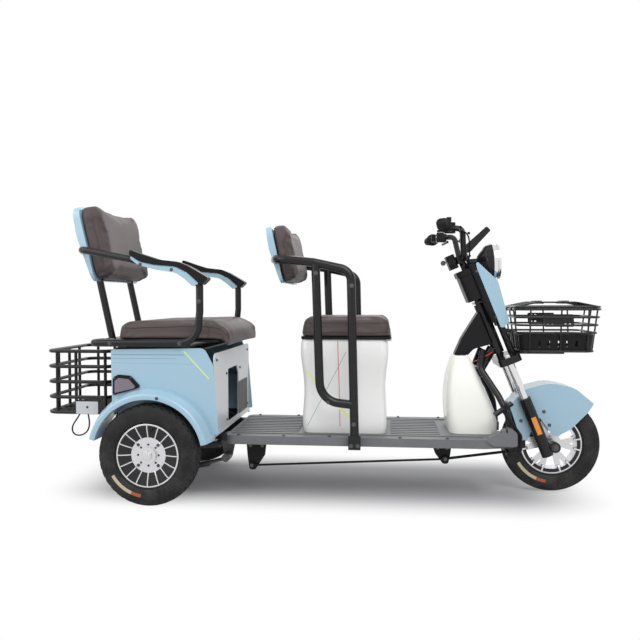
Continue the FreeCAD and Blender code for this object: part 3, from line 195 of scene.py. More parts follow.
def new_group(name, inputs, outputs):
    """A shader group with (label, kind, value) inputs and (label, kind) outputs."""
    tree = bpy.data.node_groups.new(name, "ShaderNodeTree")
    for label, kind, value in inputs:
        socket = tree.interface.new_socket(label, in_out="INPUT", socket_type="NodeSocket" + kind)
        if value is not None:
            socket.default_value = value
    for label, kind in outputs:
        tree.interface.new_socket(label, in_out="OUTPUT", socket_type="NodeSocket" + kind)
    return tree, tree.nodes.new("NodeGroupInput").outputs, tree.nodes.new("NodeGroupOutput")


DUST = (0.34, 0.32, 0.29, 1)
# Dust fades out from the first height above the ground to the second
DUST_REACH = (0.45, 0.02)


def make_mottle():
    """Uneven colour and gloss, with road dust that gathers low down."""
    tree, given, result = new_group(
        "Mottle",
        [("Place", "Vector", None), ("Colour", "Color", (0.5, 0.5, 0.5, 1)), ("Scale", "Float", 6.0),
         ("Amount", "Float", 0.06), ("Roughness", "Float", 0.4), ("Uneven", "Float", 0.08),
         ("Dust", "Float", 0.0)],
        [("Colour", "Color"), ("Roughness", "Float")])
    place = given["Place"]
    broad = noise(tree, place, given["Scale"], 4.0)
    fine = noise(tree, place, times(tree, given["Scale"], 9.0))
    both = plus(tree, times(tree, broad, 0.7), times(tree, fine, 0.3))
    swing = minus(tree, both, 0.5)
    gain = plus(tree, times(tree, times(tree, swing, given["Amount"]), 2.0), 1.0)
    low = ramp(tree, add(tree, "SeparateXYZ", [(0, place)]).outputs["Z"], *DUST_REACH)
    dust = times(tree, times(tree, low, ramp(tree, both, 0.42, 0.62)), given["Dust"], clamp=True)
    rough = plus(tree, given["Roughness"], times(tree, swing, given["Uneven"]))
    wire(tree, result, [
        ("Colour", blended(tree, dust, scaled(tree, given["Colour"], gain), DUST)),
        ("Roughness", plus(tree, rough, times(tree, dust, 0.4), clamp=True))])
    return tree


def make_grain():
    """Fine moulded or sprayed texture as a normal."""
    tree, given, result = new_group(
        "Fine Grain", [("Place", "Vector", None), ("Scale", "Float", 700.0), ("Depth", "Float", 0.1)],
        [("Normal", "Vector")])
    height = noise(tree, given["Place"], given["Scale"], 2.0)
    wire(tree, result, [("Normal", bumped(tree, height, given["Depth"], 0.0006))])
    return tree


def make_hide():
    """Leather: cells with creases between them, darker in the creases."""
    tree, given, result = new_group(
        "Hide", [("Place", "Vector", None), ("Colour", "Color", (0.1, 0.08, 0.07, 1)),
                 ("Scale", "Float", 320.0), ("Depth", "Float", 0.35)],
        [("Colour", "Color"), ("Roughness", "Float"), ("Normal", "Vector")])
    place = given["Place"]
    shift = scaled(tree, (0.004, 0.004, 0.004), noise(tree, place, 40.0, 2.0))
    warped = add(tree, "VectorMath", [(0, place), (1, shift)], operation="ADD").outputs[0]
    cells = add(tree, "TexVoronoi", [("Vector", warped), ("Scale", given["Scale"])],
                feature="DISTANCE_TO_EDGE").outputs["Distance"]
    crease = ramp(tree, cells, 0.0, 0.12)
    wide = noise(tree, place, 7.0, 4.0)
    height = plus(tree, times(tree, crease, 0.7), times(tree, wide, 0.5))
    shade = plus(tree, 0.80, plus(tree, times(tree, crease, 0.14), times(tree, wide, 0.12)))
    wire(tree, result, [
        ("Colour", scaled(tree, given["Colour"], shade)),
        ("Roughness", minus(tree, 0.58, times(tree, wide, 0.22))),
        ("Normal", bumped(tree, height, given["Depth"], 0.0006))])
    return tree


def make_line():
    """A mask for a straight line: where a point's distance along Across is within Width of Offset."""
    tree, given, result = new_group(
        "Line", [("Place", "Vector", None), ("Across", "Vector", (1, 0, 0)), ("Offset", "Float", 0.0),
                 ("Width", "Float", 0.004)], [("Mask", "Float")])
    away = maths(tree, "ABSOLUTE", minus(tree, along(tree, given["Place"], given["Across"]), given["Offset"]))
    wire(tree, result, [("Mask", maths(tree, "LESS_THAN", away, times(tree, given["Width"], 0.5)))])
    return tree


GROUP_MAKERS = {"Mottle": make_mottle, "Fine Grain": make_grain, "Hide": make_hide, "Line": make_line}


def group(tree, name, links):
    """A shared group placed in a material."""
    node = tree.nodes.new("ShaderNodeGroup")
    node.node_tree = bpy.data.node_groups.get(name) or GROUP_MAKERS[name]()
    return wire(tree, node, links)


# Materials

# What a group gives, and the shader's socket that takes it
LOOK = (("Colour", "Base Color"), ("Roughness", "Roughness"))
FEEL = (("Normal", "Normal"),)


def plain_material(name):
    material = bpy.data.materials.new(name)
    material.use_nodes = True
    return material


def start_material(name, metallic=0.0, coat=0.0, specular=0.5):
    """A new material with its shader and the object's coordinates."""
    tree = plain_material(name).node_tree
    shader = wire(tree, tree.nodes["Principled BSDF"], [
        ("Metallic", metallic), ("Coat Weight", coat), ("Coat Roughness", 0.06),
        ("Specular IOR Level", specular)])
    return tree, shader, add(tree, "TexCoord").outputs["Object"]


def feed(tree, source, shader, pairs):
    for label, socket in pairs:
        tree.links.new(source.outputs[label], shader.inputs[socket])


def mottle(tree, place, colour, scale, amount, roughness, uneven, dust=0.0):
    return group(tree, "Mottle", [
        ("Place", place), ("Colour", (*colour, 1)), ("Scale", scale), ("Amount", amount),
        ("Roughness", roughness), ("Uneven", uneven), ("Dust", dust)])


def grained(tree, place, shader, scale, depth):
    feel = group(tree, "Fine Grain", [("Place", place), ("Scale", scale), ("Depth", depth)])
    feed(tree, feel, shader, FEEL)


def mottled(name, colour, roughness, metallic=0.0, coat=0.0, scale=6.0, amount=0.05, uneven=0.08, dust=0.0,
            grain=(700.0, 0.06), specular=0.5):
    """The usual finish: an uneven colour with fine grain."""
    tree, shader, place = start_material(name, metallic, coat, specular)
    feed(tree, mottle(tree, place, colour, scale, amount, roughness, uneven, dust), shader, LOOK)
    grained(tree, place, shader, *grain)


def leather(name, colour):
    tree, shader, place = start_material(name, specular=0.20)
    feed(tree, group(tree, "Hide", [("Place", place), ("Colour", (*colour, 1))]), shader, LOOK + FEEL)


def panel_lines(material, side_y, rows, grid):
    """Coloured lines and a fine grid on the faces beyond side_y.

    rows: (x and z from, x and z to, width, colour) and grid: (corners, pitch, colour), all measured forward
    from the rear axle and up from the ground."""
    tree = material.node_tree
    place = next(node for node in tree.nodes if node.bl_idname == "ShaderNodeTexCoord").outputs["Object"]
    parts = add(tree, "SeparateXYZ", [(0, place)]).outputs
    outer = maths(tree, "GREATER_THAN", maths(tree, "ABSOLUTE", parts["Y"]), side_y)
    corners, pitch, colour = grid
    inside = outer
    for (xa, za), (xb, zb) in zip(corners, corners[1:] + corners[:1]):
        across = Vector((zb - za, 0, xa - xb)).normalized()
        start = across.dot(from_axle(xa, 0, za))
        inside = times(tree, inside, maths(tree, "GREATER_THAN", along(tree, place, across), start))
    mesh = [maths(tree, "LESS_THAN", maths(tree, "PINGPONG", parts[axis], pitch), pitch * 0.14)
            for axis in "XZ"]
    masks = [(times(tree, inside, maths(tree, "MAXIMUM", *mesh)), colour)]
    for (xa, za), (xb, zb), width, colour in rows:
        run = Vector((xb - xa, 0, zb - za)).normalized()
        across = Vector((run.z, 0, -run.x))
        start, end = from_axle(xa, 0, za), from_axle(xb, 0, zb)
        line = group(tree, "Line", [("Place", place), ("Across", across), ("Offset", across.dot(start)),
                                    ("Width", width)])
        length = between(tree, along(tree, place, run), run.dot(start), run.dot(end))
        masks.append((times(tree, times(tree, line.outputs["Mask"], length), outer), colour))
    socket = tree.nodes["Principled BSDF"].inputs["Base Color"]
    base = socket.links[0].from_socket
    for mask, colour in masks:
        base = blended(tree, mask, base, (*colour, 1))
    tree.links.new(base, socket)


# A tyre's sidewall: the coloured band, with its cream and its red length by angle, and the moulded rings
BAND = (0.1375, 0.1495)
BAND_CREAM = (-2.62, -1.98)
BAND_RED = (-1.98, -1.72)
WALL_RINGS = (0.1515, 0.162)


def tyre_rubber(name, centre, colour):
    """Tyre rubber with moulded rings on the sidewall and a plain coloured band low on it."""
    tree, shader, place = start_material(name, specular=0.20)
    local = add(tree, "Mapping", [("Vector", place), ("Location", -centre)]).outputs[0]
    look = mottle(tree, place, colour, 14.0, 0.25, 0.62, 0.2, 0.10)
    parts = add(tree, "SeparateXYZ", [(0, local)]).outputs
    flat = add(tree, "CombineXYZ", [("X", parts["X"]), ("Y", parts["Z"])])
    radius = add(tree, "VectorMath", [(0, flat.outputs[0])], operation="LENGTH").outputs["Value"]
    angle = maths(tree, "ARCTAN2", parts["Z"], parts["X"])
    wall = maths(tree, "GREATER_THAN", maths(tree, "ABSOLUTE", parts["Y"]), 0.030)
    ring = times(tree, between(tree, radius, *BAND), wall)
    base = look.outputs["Colour"]
    for stretch, tone in ((BAND_CREAM, (0.50, 0.43, 0.29, 1)), (BAND_RED, (0.36, 0.10, 0.05, 1))):
        base = blended(tree, times(tree, ring, between(tree, angle, *stretch)), base, tone)
    waves = maths(tree, "SINE", times(tree, radius, 1500.0))
    ribs = times(tree, waves, between(tree, radius, *WALL_RINGS))
    height = plus(tree, ribs, noise(tree, place, 500.0, 2.0))
    wire(tree, shader, [("Base Color", base), ("Roughness", look.outputs["Roughness"]),
                        ("Normal", bumped(tree, height, 0.25, 0.001))])


def clear_glass(name, colour, roughness=0.02):
    tree, shader, place = start_material(name, coat=0.4)
    wire(tree, shader, [("Transmission Weight", 1.0), ("Roughness", roughness), ("IOR", 1.45)])
    feed(tree, mottle(tree, place, colour, 20.0, 0.03, roughness, 0.02), shader, LOOK[:1])
    grained(tree, place, shader, 300.0, 0.02)


RED = (0.62, 0.03, 0.05)
GREEN = (0.12, 0.36, 0.24)
LIME = (0.66, 0.82, 0.16)
PALE_YELLOW = (0.78, 0.82, 0.42)
# Darker blue painted as the shade along the side panels' creases
CREASE_SHADE = (0.19, 0.31, 0.38)


def finish(name):
    return bpy.data.materials[name]


def make_finishes():
    """Builds every named finish once."""
    c = colours()
    width = sizes().stripe
    paint = dict(coat=0.45, amount=0.03, grain=(40.0, 0.015), dust=0.03)
    for name, colour, roughness, more in (
        ("gloss black", c.black, 0.22, dict(coat=0.15, amount=0.10, grain=(60.0, 0.02), specular=0.22)),
        ("satin black", c.moulding, 0.40, dict(amount=0.12, grain=(900.0, 0.12), specular=0.15)),
        ("blue", c.blue, 0.26, paint),
        ("blue side", c.blue, 0.26, paint),
        ("white box", c.white, 0.30, dict(coat=0.3, amount=0.02, grain=(50.0, 0.02), dust=0.02)),
        ("ivory", c.ivory, 0.30, dict(coat=0.3, amount=0.03, grain=(50.0, 0.02), dust=0.03)),
        ("panel", c.panel, 0.34, dict(coat=0.2, amount=0.04, grain=(80.0, 0.03))),
        ("deck", c.deck, 0.50, dict(amount=0.16, grain=(1100.0, 0.20), dust=0.10)),
        ("rubber", c.rubber, 0.62, dict(amount=0.15, grain=(500.0, 0.25), specular=0.15)),
        ("spring steel", (0.06, 0.06, 0.062), 0.42, dict(metallic=0.6, amount=0.3, dust=0.2)),
        ("steel", (0.55, 0.55, 0.56), 0.30, dict(metallic=1.0, amount=0.15, uneven=0.2)),
        ("chrome", (0.78, 0.78, 0.80), 0.08, dict(metallic=1.0, amount=0.03, uneven=0.03,
                                                  grain=(30.0, 0.01))),
        ("rim", (0.66, 0.66, 0.68), 0.26, dict(metallic=0.85, amount=0.08, uneven=0.1,
                                               grain=(400.0, 0.04))),
        ("amber", c.amber, 0.18, dict(coat=0.5, amount=0.12, scale=60.0)),
        ("smoke", c.smoke, 0.12, dict(coat=0.6, amount=0.2, scale=30.0)),
        ("red", (0.50, 0.03, 0.02), 0.35, dict(amount=0.1)),
        # Near black painted as the shade seen through the rims' windows
        ("dark inside", (0.006, 0.006, 0.006), 0.7, dict(amount=0.3)),
    ):
        mottled(name, colour, roughness, **more)
    leather("leather", c.hide)
    clear_glass("glass", (0.93, 0.95, 0.96))
    panel_lines(finish("white box"), 0.130, [
        ((0.668, 0.585), (0.676, 0.262), width * 0.6, RED),
        ((0.552, 0.262), (0.700, 0.545), width * 0.4, GREEN),
        ((0.545, 0.470), (0.720, 0.285), width * 2.6, PALE_YELLOW),
    ], ([(0.556, 0.262), (0.712, 0.262), (0.596, 0.388)], 0.0050, (0.62, 0.68, 0.67)))
    panel_lines(finish("blue side"), 0.296, [
        ((0.118, 0.556), (0.212, 0.455), width * 0.8, LIME),
        # These three lines are painted shade along the panel's creases
        ((-0.152, 0.541), (0.120, 0.541), width * 0.9, CREASE_SHADE),
        ((-0.152, 0.527), (0.090, 0.528), width * 0.5, CREASE_SHADE),
        ((-0.152, 0.511), (0.150, 0.508), width * 0.3, CREASE_SHADE),
    ], ([(0.140, 0.520), (0.206, 0.450), (0.206, 0.556), (0.160, 0.556)], 0.0060, (0.80, 0.88, 0.92)))
    for name, centre in (("front", FRONT_AXLE), *REAR_AXLES.items()):
        tyre_rubber("tyre " + name, centre, c.rubber)


NODE_FINISH = {
    "gloss black": ("main_frame", "neck_guard", "hoop_brackets", "bench_frame", "driver_frame", "rear_basket",
                    "front_basket", "basket_lid", "steering_stem", "basket_carrier", "handlebar", "fork_legs",
                    "rear_carrier", "latch_lever", "headlight_bucket"),
    "satin black": ("neck_cover", "basket_tub", "column_cover", "armrest_pads", "driver_base", "bench_base",
                    "body_top", "body_rear", "bar_controls", "foot_brake", "brake_linkage", "rear_axle",
                    "tail_surrounds", "lamp_bracket", "bar_switches"),
    "blue": ("armrest_shells", "bench_back_shell", "driver_back_shell", "cowl", "front_fender"),
    "blue side": ("side_panel_right", "side_panel_left"),
    "white box": ("seat_box",),
    "ivory": ("leg_shield",),
    "panel": ("body_front", "plate_bracket"),
    "deck": ("deck",),
    "leather": ("bench_cushion", "driver_cushion", "bench_back_pad", "driver_back_pad"),
    "rubber": ("grips",),
    "spring steel": ("leaf_springs",),
    "chrome": ("fork_tubes", "headlight_rim"),
    "amber": ("reflectors",),
    "rim": ("front_rim", "rear_rim_right", "rear_rim_left"),
    "smoke": ("tail_lights",),
    "glass": ("headlight_lens",),
    "tyre front": ("front_tyre",),
    "tyre right": ("rear_tyre_right",),
    "tyre left": ("rear_tyre_left",),
}


# Mesh helpers

def put(name, bm, finish_name, slot, body, stands_for=(), sharp=38, bevel=0.0):
    """Makes a bmesh a finished piece that rides on a body."""
    mesh = bpy.data.meshes.new(name)
    bm.normal_update()
    bm.to_mesh(mesh)
    bm.free()
    mesh.materials.append(finish(finish_name))
    for face in mesh.polygons:
        face.use_smooth = True
    if sharp:
        mesh.set_sharp_from_angle(angle=math.radians(sharp))
    piece = bpy.data.objects.new(name, mesh)
    bpy.context.scene.collection.objects.link(piece)
    if bevel:
        edge = piece.modifiers.new("Bevel", "BEVEL")
        edge.width = bevel
        edge.segments = 2
        edge.limit_method = "ANGLE"
        edge.angle_limit = math.radians(35)
    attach(piece, body)
    if stands_for:
        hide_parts(*stands_for)
    return piece


def outward(bm):
    """Closes doubles and turns every face outwards."""
    bmesh.ops.remove_doubles(bm, verts=bm.verts, dist=1e-6)
    bmesh.ops.recalc_face_normals(bm, faces=bm.faces)


def spin_profile(bm, rows, origin, axis, outwards, steps=64, closed=True):
    """Turns rows of (distance along the axis, radius) about an axis through origin."""
    axis = Vector(axis).normalized()
    outwards = Vector(outwards).normalized()
    corners = [bm.verts.new(origin + axis * along + outwards * radius) for along, radius in rows]
    edges = [bm.edges.new(pair) for pair in zip(corners, corners[1:])]
    if closed:
        edges.append(bm.edges.new((corners[-1], corners[0])))
    bmesh.ops.spin(bm, geom=corners + edges, cent=origin, axis=axis, angle=math.tau, steps=steps,
                   use_merge=True)


def turned(name, rows, origin, axis, outwards, looks, body, closed=True):
    """A piece turned from one profile; looks are its finish and its slot, which is not used."""
    bm = bmesh.new()
    spin_profile(bm, rows, origin, axis, outwards, closed=closed)
    outward(bm)
    put(name, bm, *looks, body)


def cylinder(bm, start, end, radius, segments=24, radius_end=None):
    """A closed round bar or cone between two points."""
    line = end - start
    radius_end = radius if radius_end is None else radius_end
    turn = line.to_track_quat("Z", "Y").to_matrix().to_4x4()
    bmesh.ops.create_cone(
        bm, cap_ends=True, segments=segments, radius1=radius, radius2=radius_end, depth=line.length,
        matrix=Matrix.Translation((start + end) / 2) @ turn)


def corners_of(node):
    """The low and high corner of a node's box."""
    return [Vector(corner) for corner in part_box(node)]


def block(bm, low, high):
    """A box between two corners."""
    matrix = Matrix.Translation((low + high) / 2) @ Matrix.Diagonal((*(high - low), 1))
    bmesh.ops.create_cube(bm, size=1.0, matrix=matrix)


def bolt(bm, at, direction, radius, height):
    """A cap screw: a round washer and a hexagon head."""
    direction = Vector(direction).normalized()
    cylinder(bm, at, at + direction * height * 0.3, radius * 1.35, 20)
    cylinder(bm, at + direction * height * 0.3, at + direction * height, radius, 6, radius * 0.92)


def prism(bm, outline, run):
    """A flat outline of points pushed along run."""
    face = bm.faces.new([bm.verts.new(point) for point in outline])
    made = bmesh.ops.extrude_face_region(bm, geom=[face])["geom"]
    verts = [item for item in made if isinstance(item, bmesh.types.BMVert)]
    bmesh.ops.translate(bm, verts=verts, vec=run)
    bmesh.ops.recalc_face_normals(bm, faces=bm.faces)


def rounded_bar(bm, points, radius, closed=False, resolution=4):
    """A smooth round bar through a curve of points, as mesh."""
    curve = bpy.data.curves.new("bar", "CURVE")
    curve.dimensions = "3D"
    curve.bevel_depth = radius
    curve.bevel_resolution = resolution
    curve.resolution_u = 8
    curve.use_fill_caps = True
    spline = curve.splines.new("NURBS")
    spline.points.add(len(points) - 1)
    for spot, point in zip(spline.points, points):
        spot.co = (*point, 1)
    spline.use_cyclic_u = closed
    spline.order_u = 4
    spline.use_endpoint_u = not closed
    holder = bpy.data.objects.new("bar", curve)
    mesh = bpy.data.meshes.new_from_object(holder)
    bm.from_mesh(mesh)
    bpy.data.objects.remove(holder)
    bpy.data.curves.remove(curve)
    bpy.data.meshes.remove(mesh)


# Soft pads

CLOTH_STEPS = 20


def swell(piece, cap, held):
    """Remeshes a pad and blows it up as cloth, apart from what is held.

    Each point stays within cap of where it was cut."""
    even = piece.modifiers.new("Even", "REMESH")
    even.mode = "VOXEL"
    even.voxel_size = sizes().voxel
    soft = piece.modifiers.new("Soft", "SMOOTH")
    soft.iterations = 4
    bake_modifiers(piece)
    start = [vert.co.copy() for vert in piece.data.vertices]
    pins = piece.vertex_groups.new(name="held")
    pins.add([v.index for v in piece.data.vertices if held(v.co)], 1.0, "REPLACE")
    cloth = piece.modifiers.new("Cloth", "CLOTH")
    settings = cloth.settings
    settings.quality = 4
    settings.mass = 0.3
    settings.tension_stiffness = 12
    settings.compression_stiffness = 12
    settings.bending_stiffness = 0.6
    settings.use_pressure = True
    settings.uniform_pressure_force = 4.0
    settings.effector_weights.gravity = 0
    settings.vertex_group_mass = "held"
    for step in range(1, CLOTH_STEPS + 1):
        bpy.context.scene.frame_set(step)
    bake_modifiers(piece)
    bpy.context.scene.frame_set(1)
    piece.vertex_groups.clear()
    for vert, was in zip(piece.data.vertices, start):
        gone = vert.co - was
        if gone.length > cap:
            vert.co = was + gone.normalized() * cap
    for face in piece.data.polygons:
        face.use_smooth = True


def bake_modifiers(piece):
    """Replaces a piece's mesh by what its modifiers make of it."""
    graph = bpy.context.evaluated_depsgraph_get()
    graph.update()
    mesh = bpy.data.meshes.new_from_object(piece.evaluated_get(graph))
    piece.modifiers.clear()
    old = piece.data
    piece.data = mesh
    bpy.data.meshes.remove(old)


def sewn(piece, guides, depth, width):
    """Pulls a pad in along guide lines that are snapped to it, and returns the snapped lines."""
    tree = BVHTree.FromObject(piece, bpy.context.evaluated_depsgraph_get())
    lines = [[tree.find_nearest(point)[:2] for point in guide] for guide in guides]
    for vert in piece.data.vertices:
        near = width
        for line in lines:
            for place, normal in line:
                near = min(near, (vert.co - place).length)
        if near < width:
            fall = 0.5 + 0.5 * math.cos(math.pi * near / width)
            vert.co -= piece.data.vertices[vert.index].normal * depth * fall
    return lines


def piping(name, lines, body, radius, closed=True):
    """Thin leather piping sewn along snapped lines, partly sunk in the pad."""
    bm = bmesh.new()
    for line in lines:
        rounded_bar(bm, [place - normal * radius * 0.4 for place, normal in line], radius, closed, 2)
    outward(bm)
    put(name, bm, "leather", "leather_brown", body, sharp=0)


def loop_points(half_x, half_y, corner, count=10):
    """A rounded rectangle of points about the origin in plan."""
    points = []
    for x, y, start in ((1, 1, 0), (-1, 1, 90), (-1, -1, 180), (1, -1, 270)):
        middle = Vector((x * (half_x - corner), y * (half_y - corner), 0))
        for i in range(count + 1):
            angle = math.radians(start + 90 * i / count)
            points.append(middle + Vector((math.cos(angle), math.sin(angle), 0)) * corner)
    return spread(points, 0.02)


def spread(points, step, closed=True):
    """The same line with a point about every step."""
    result = []
    ends = points[1:] + points[:1] if closed else points[1:]
    for a, b in zip(points, ends):
        parts = max(1, round((b - a).length / step))
        result += [a.lerp(b, i / parts) for i in range(parts)]
    if not closed:
        result.append(points[-1])
    return result


# The operators, one for each group of like pieces

class Maker:
    bl_options = {"REGISTER", "UNDO"}

    def execute(self, context):
        self.make()
        return {"FINISHED"}


class TRICYCLE_OT_stage(Maker, bpy.types.Operator):
    """Pale floor, soft lamps and the camera at the picture's place"""
    bl_idname = "tricycle.stage"
    bl_label = "Stage"

    CAMERA_AT = from_axle(0.85, -2.60, 0.74)
    YAW, PITCH, ROLL = math.radians(-5.81), math.radians(1.77), math.radians(-0.13)
    LENS = 36.73
    # Name, place, width in metres and power in watts
    LAMPS = (("key", (1.2, -2.6, 3.0), 2.4, 76), ("fill", (-2.4, -1.6, 1.9), 2.6, 33),
             ("back", (0.3, 2.4, 2.6), 3.0, 42))
    # The pool of painted shade on the floor: axis, its middle, half of its full depth, and how far it fades past
    # that
    PAINTED_SHADE_POOL = (("X", 0.0, 0.70, 0.42), ("Y", 0.06, 0.17, 0.30))

    def make(self):
        scene = bpy.context.scene
        scene.view_settings.view_transform = "Standard"
        data = bpy.data.cameras.new("camera")
        data.lens = self.LENS
        data.sensor_width = 36
        camera = bpy.data.objects.new("camera", data)
        scene.collection.objects.link(camera)
        aim = Vector((math.sin(self.YAW) * math.cos(self.PITCH), math.cos(self.YAW) * math.cos(self.PITCH),
                      -math.sin(self.PITCH)))
        turn = aim.to_track_quat("-Z", "Y").to_matrix().to_4x4() @ Matrix.Rotation(self.ROLL, 4, "Z")
        camera.matrix_world = Matrix.Translation(self.CAMERA_AT) @ turn
        scene.camera = camera
        self.floor()
        self.world(scene)
        for name, at, size, power in self.LAMPS:
            lamp = bpy.data.lights.new(name, "AREA")
            lamp.energy = power
            lamp.size = size
            holder = bpy.data.objects.new(name, lamp)
            scene.collection.objects.link(holder)
            aim = (Vector((0, 0, 0.4)) - Vector(at)).to_track_quat("-Z", "Y")
            holder.matrix_world = Matrix.Translation(at) @ aim.to_matrix().to_4x4()

    def floor(self):
        bm = bmesh.new()
        bmesh.ops.create_grid(bm, x_segments=1, y_segments=1, size=14)
        mesh = bpy.data.meshes.new("floor")
        bm.to_mesh(mesh)
        bm.free()
        floor = bpy.data.objects.new("floor", mesh)
        bpy.context.scene.collection.objects.link(floor)
        mesh.materials.append(self.floor_paint())

    def floor_paint(self):
        """Pale grey floor colour painted as a soft pool of shade under the tricycle, where the lamps' shadow falls
        too, and past it plain white to the eye.
        """
        material = plain_material("floor")
        tree = material.node_tree
        place = add(tree, "TexCoord").outputs["Object"]
        # The floor's grey, which the eye sees only inside the pool, is painted shade
        tone = blended(tree, noise(tree, place, 2.0), (0.40, 0.40, 0.42, 1), (0.44, 0.44, 0.45, 1))
        shader = wire(tree, tree.nodes["Principled BSDF"], [
            ("Base Color", tone), ("Roughness", 0.75), ("Specular IOR Level", 0.2)])
        parts = add(tree, "SeparateXYZ", [(0, place)]).outputs
        away = 0.0
        for axis, middle, full, fade in self.PAINTED_SHADE_POOL:
            off = maths(tree, "ABSOLUTE", minus(tree, parts[axis], middle))
            past = maths(tree, "MAXIMUM", maths(tree, "DIVIDE", minus(tree, off, full), fade), 0.0)
            away = plus(tree, away, times(tree, past, past))
        clear = ramp(tree, maths(tree, "POWER", away, 0.5), 0.0, 1.0, interpolation_type="SMOOTHSTEP")
        white = add(tree, "Emission", [("Color", (1, 1, 1, 1)), ("Strength", 1.0)])
        mix = add(tree, "MixShader", [(0, times(tree, clear, seen_rays(tree))), (1, shader.outputs[0]),
                                      (2, white.outputs[0])])
        output = next(node for node in tree.nodes if node.bl_idname == "ShaderNodeOutputMaterial")
        tree.links.new(mix.outputs[0], output.inputs["Surface"])
        return material

    def world(self, scene):
        scene.world = bpy.data.worlds.new("studio")
        scene.world.use_nodes = True
        tree = scene.world.node_tree
        bright = plus(tree, 0.80, times(tree, seen_rays(tree), 0.20))
        wire(tree, tree.nodes["Background"], [("Color", (1, 1, 1, 1)), ("Strength", bright)])


def seen_rays(tree):
    """1 for what the camera sees, also in metal and through glass, and 0 for other light."""
    path = add(tree, "LightPath").outputs
    mirrored = maths(tree, "MAXIMUM", path["Is Glossy Ray"], path["Is Transmission Ray"])
    return maths(tree, "MAXIMUM", path["Is Camera Ray"], mirrored)


class TRICYCLE_OT_finishes(Maker, bpy.types.Operator):
    """Materials for every piece of the frame"""
    bl_idname = "tricycle.finishes"
    bl_label = "Finishes"

    def make(self):
        make_finishes()
        for name, nodes in NODE_FINISH.items():
            for node in nodes:
                mesh = frame["nodes"][node].data
                mesh.materials.clear()
                mesh.materials.append(finish(name))


class TRICYCLE_OT_tyres(Maker, bpy.types.Operator):
    """Three tyres with sidewalls and tread blocks"""
    bl_idname = "tricycle.tyres"
    bl_label = "Tyres"

    # Half section from the bead to the crown: (distance from the middle, radius)
    SECTION = ((0.0258, 0.1045), (0.0258, 0.1195), (0.0335, 0.1198), (0.0372, 0.1260), (0.0393, 0.1350),
               (0.0400, 0.1450), (0.0394, 0.1560), (0.0370, 0.1665), (0.0325, 0.1742), (0.0225, 0.1783),
               (0.0105, 0.1800))
    # Rows of tread blocks: quarters of a block that the row is turned by, and its two edges from the middle
    LUG_ROWS = ((0, 0.0225, 0.0325), (2, 0.0105, 0.0225), (0, -0.0105, 0.0105), (2, -0.0225, -0.0105),
                (0, -0.0325, -0.0225))

    def make(self):
        for name, node, centre, body in (
            ("front", "front_tyre", FRONT_AXLE, "front_wheel"),
            ("right", "rear_tyre_right", REAR_AXLES["right"], "rear_wheel_right"),
            ("left", "rear_tyre_left", REAR_AXLES["left"], "rear_wheel_left"),
        ):
            self.tyre(name, node, centre, body)

    def tyre(self, name, node, centre, body):
        rows = [(y, r) for y, r in self.SECTION] + [(-y, r) for y, r in reversed(self.SECTION)]
        bm = bmesh.new()
        blocks = sizes().tread_blocks
        spin_profile(bm, rows, centre, (0, 1, 0), (0, 0, 1), steps=blocks * 4)
        outward(bm)
        for shift, low, high in self.LUG_ROWS:
            lugs = []
            for face in bm.faces:
                spot = face.calc_center_median() - centre
                radius = math.hypot(spot.x, spot.z)
                if low < spot.y < high and radius > 0.17:
                    sector = int((math.atan2(spot.z, spot.x) / math.tau + 1) * blocks * 4 + 0.5 + shift)
                    if sector % 4 != 0:
                        lugs.append(face)
            bmesh.ops.inset_region(bm, faces=lugs, thickness=0.0012, use_even_offset=True)
            verts = {vert for face in lugs for vert in face.verts}
            depth = sizes().tread_depth
            for vert in verts:
                away = Vector((vert.co.x - centre.x, 0, vert.co.z - centre.z))
                rise = min(depth, TYRE_R - away.length)
                vert.co += away.normalized() * rise
        bmesh.ops.recalc_face_normals(bm, faces=bm.faces)
        put("tyre_" + name, bm, "tyre " + name, "tyre_black", body, (node,), sharp=30)


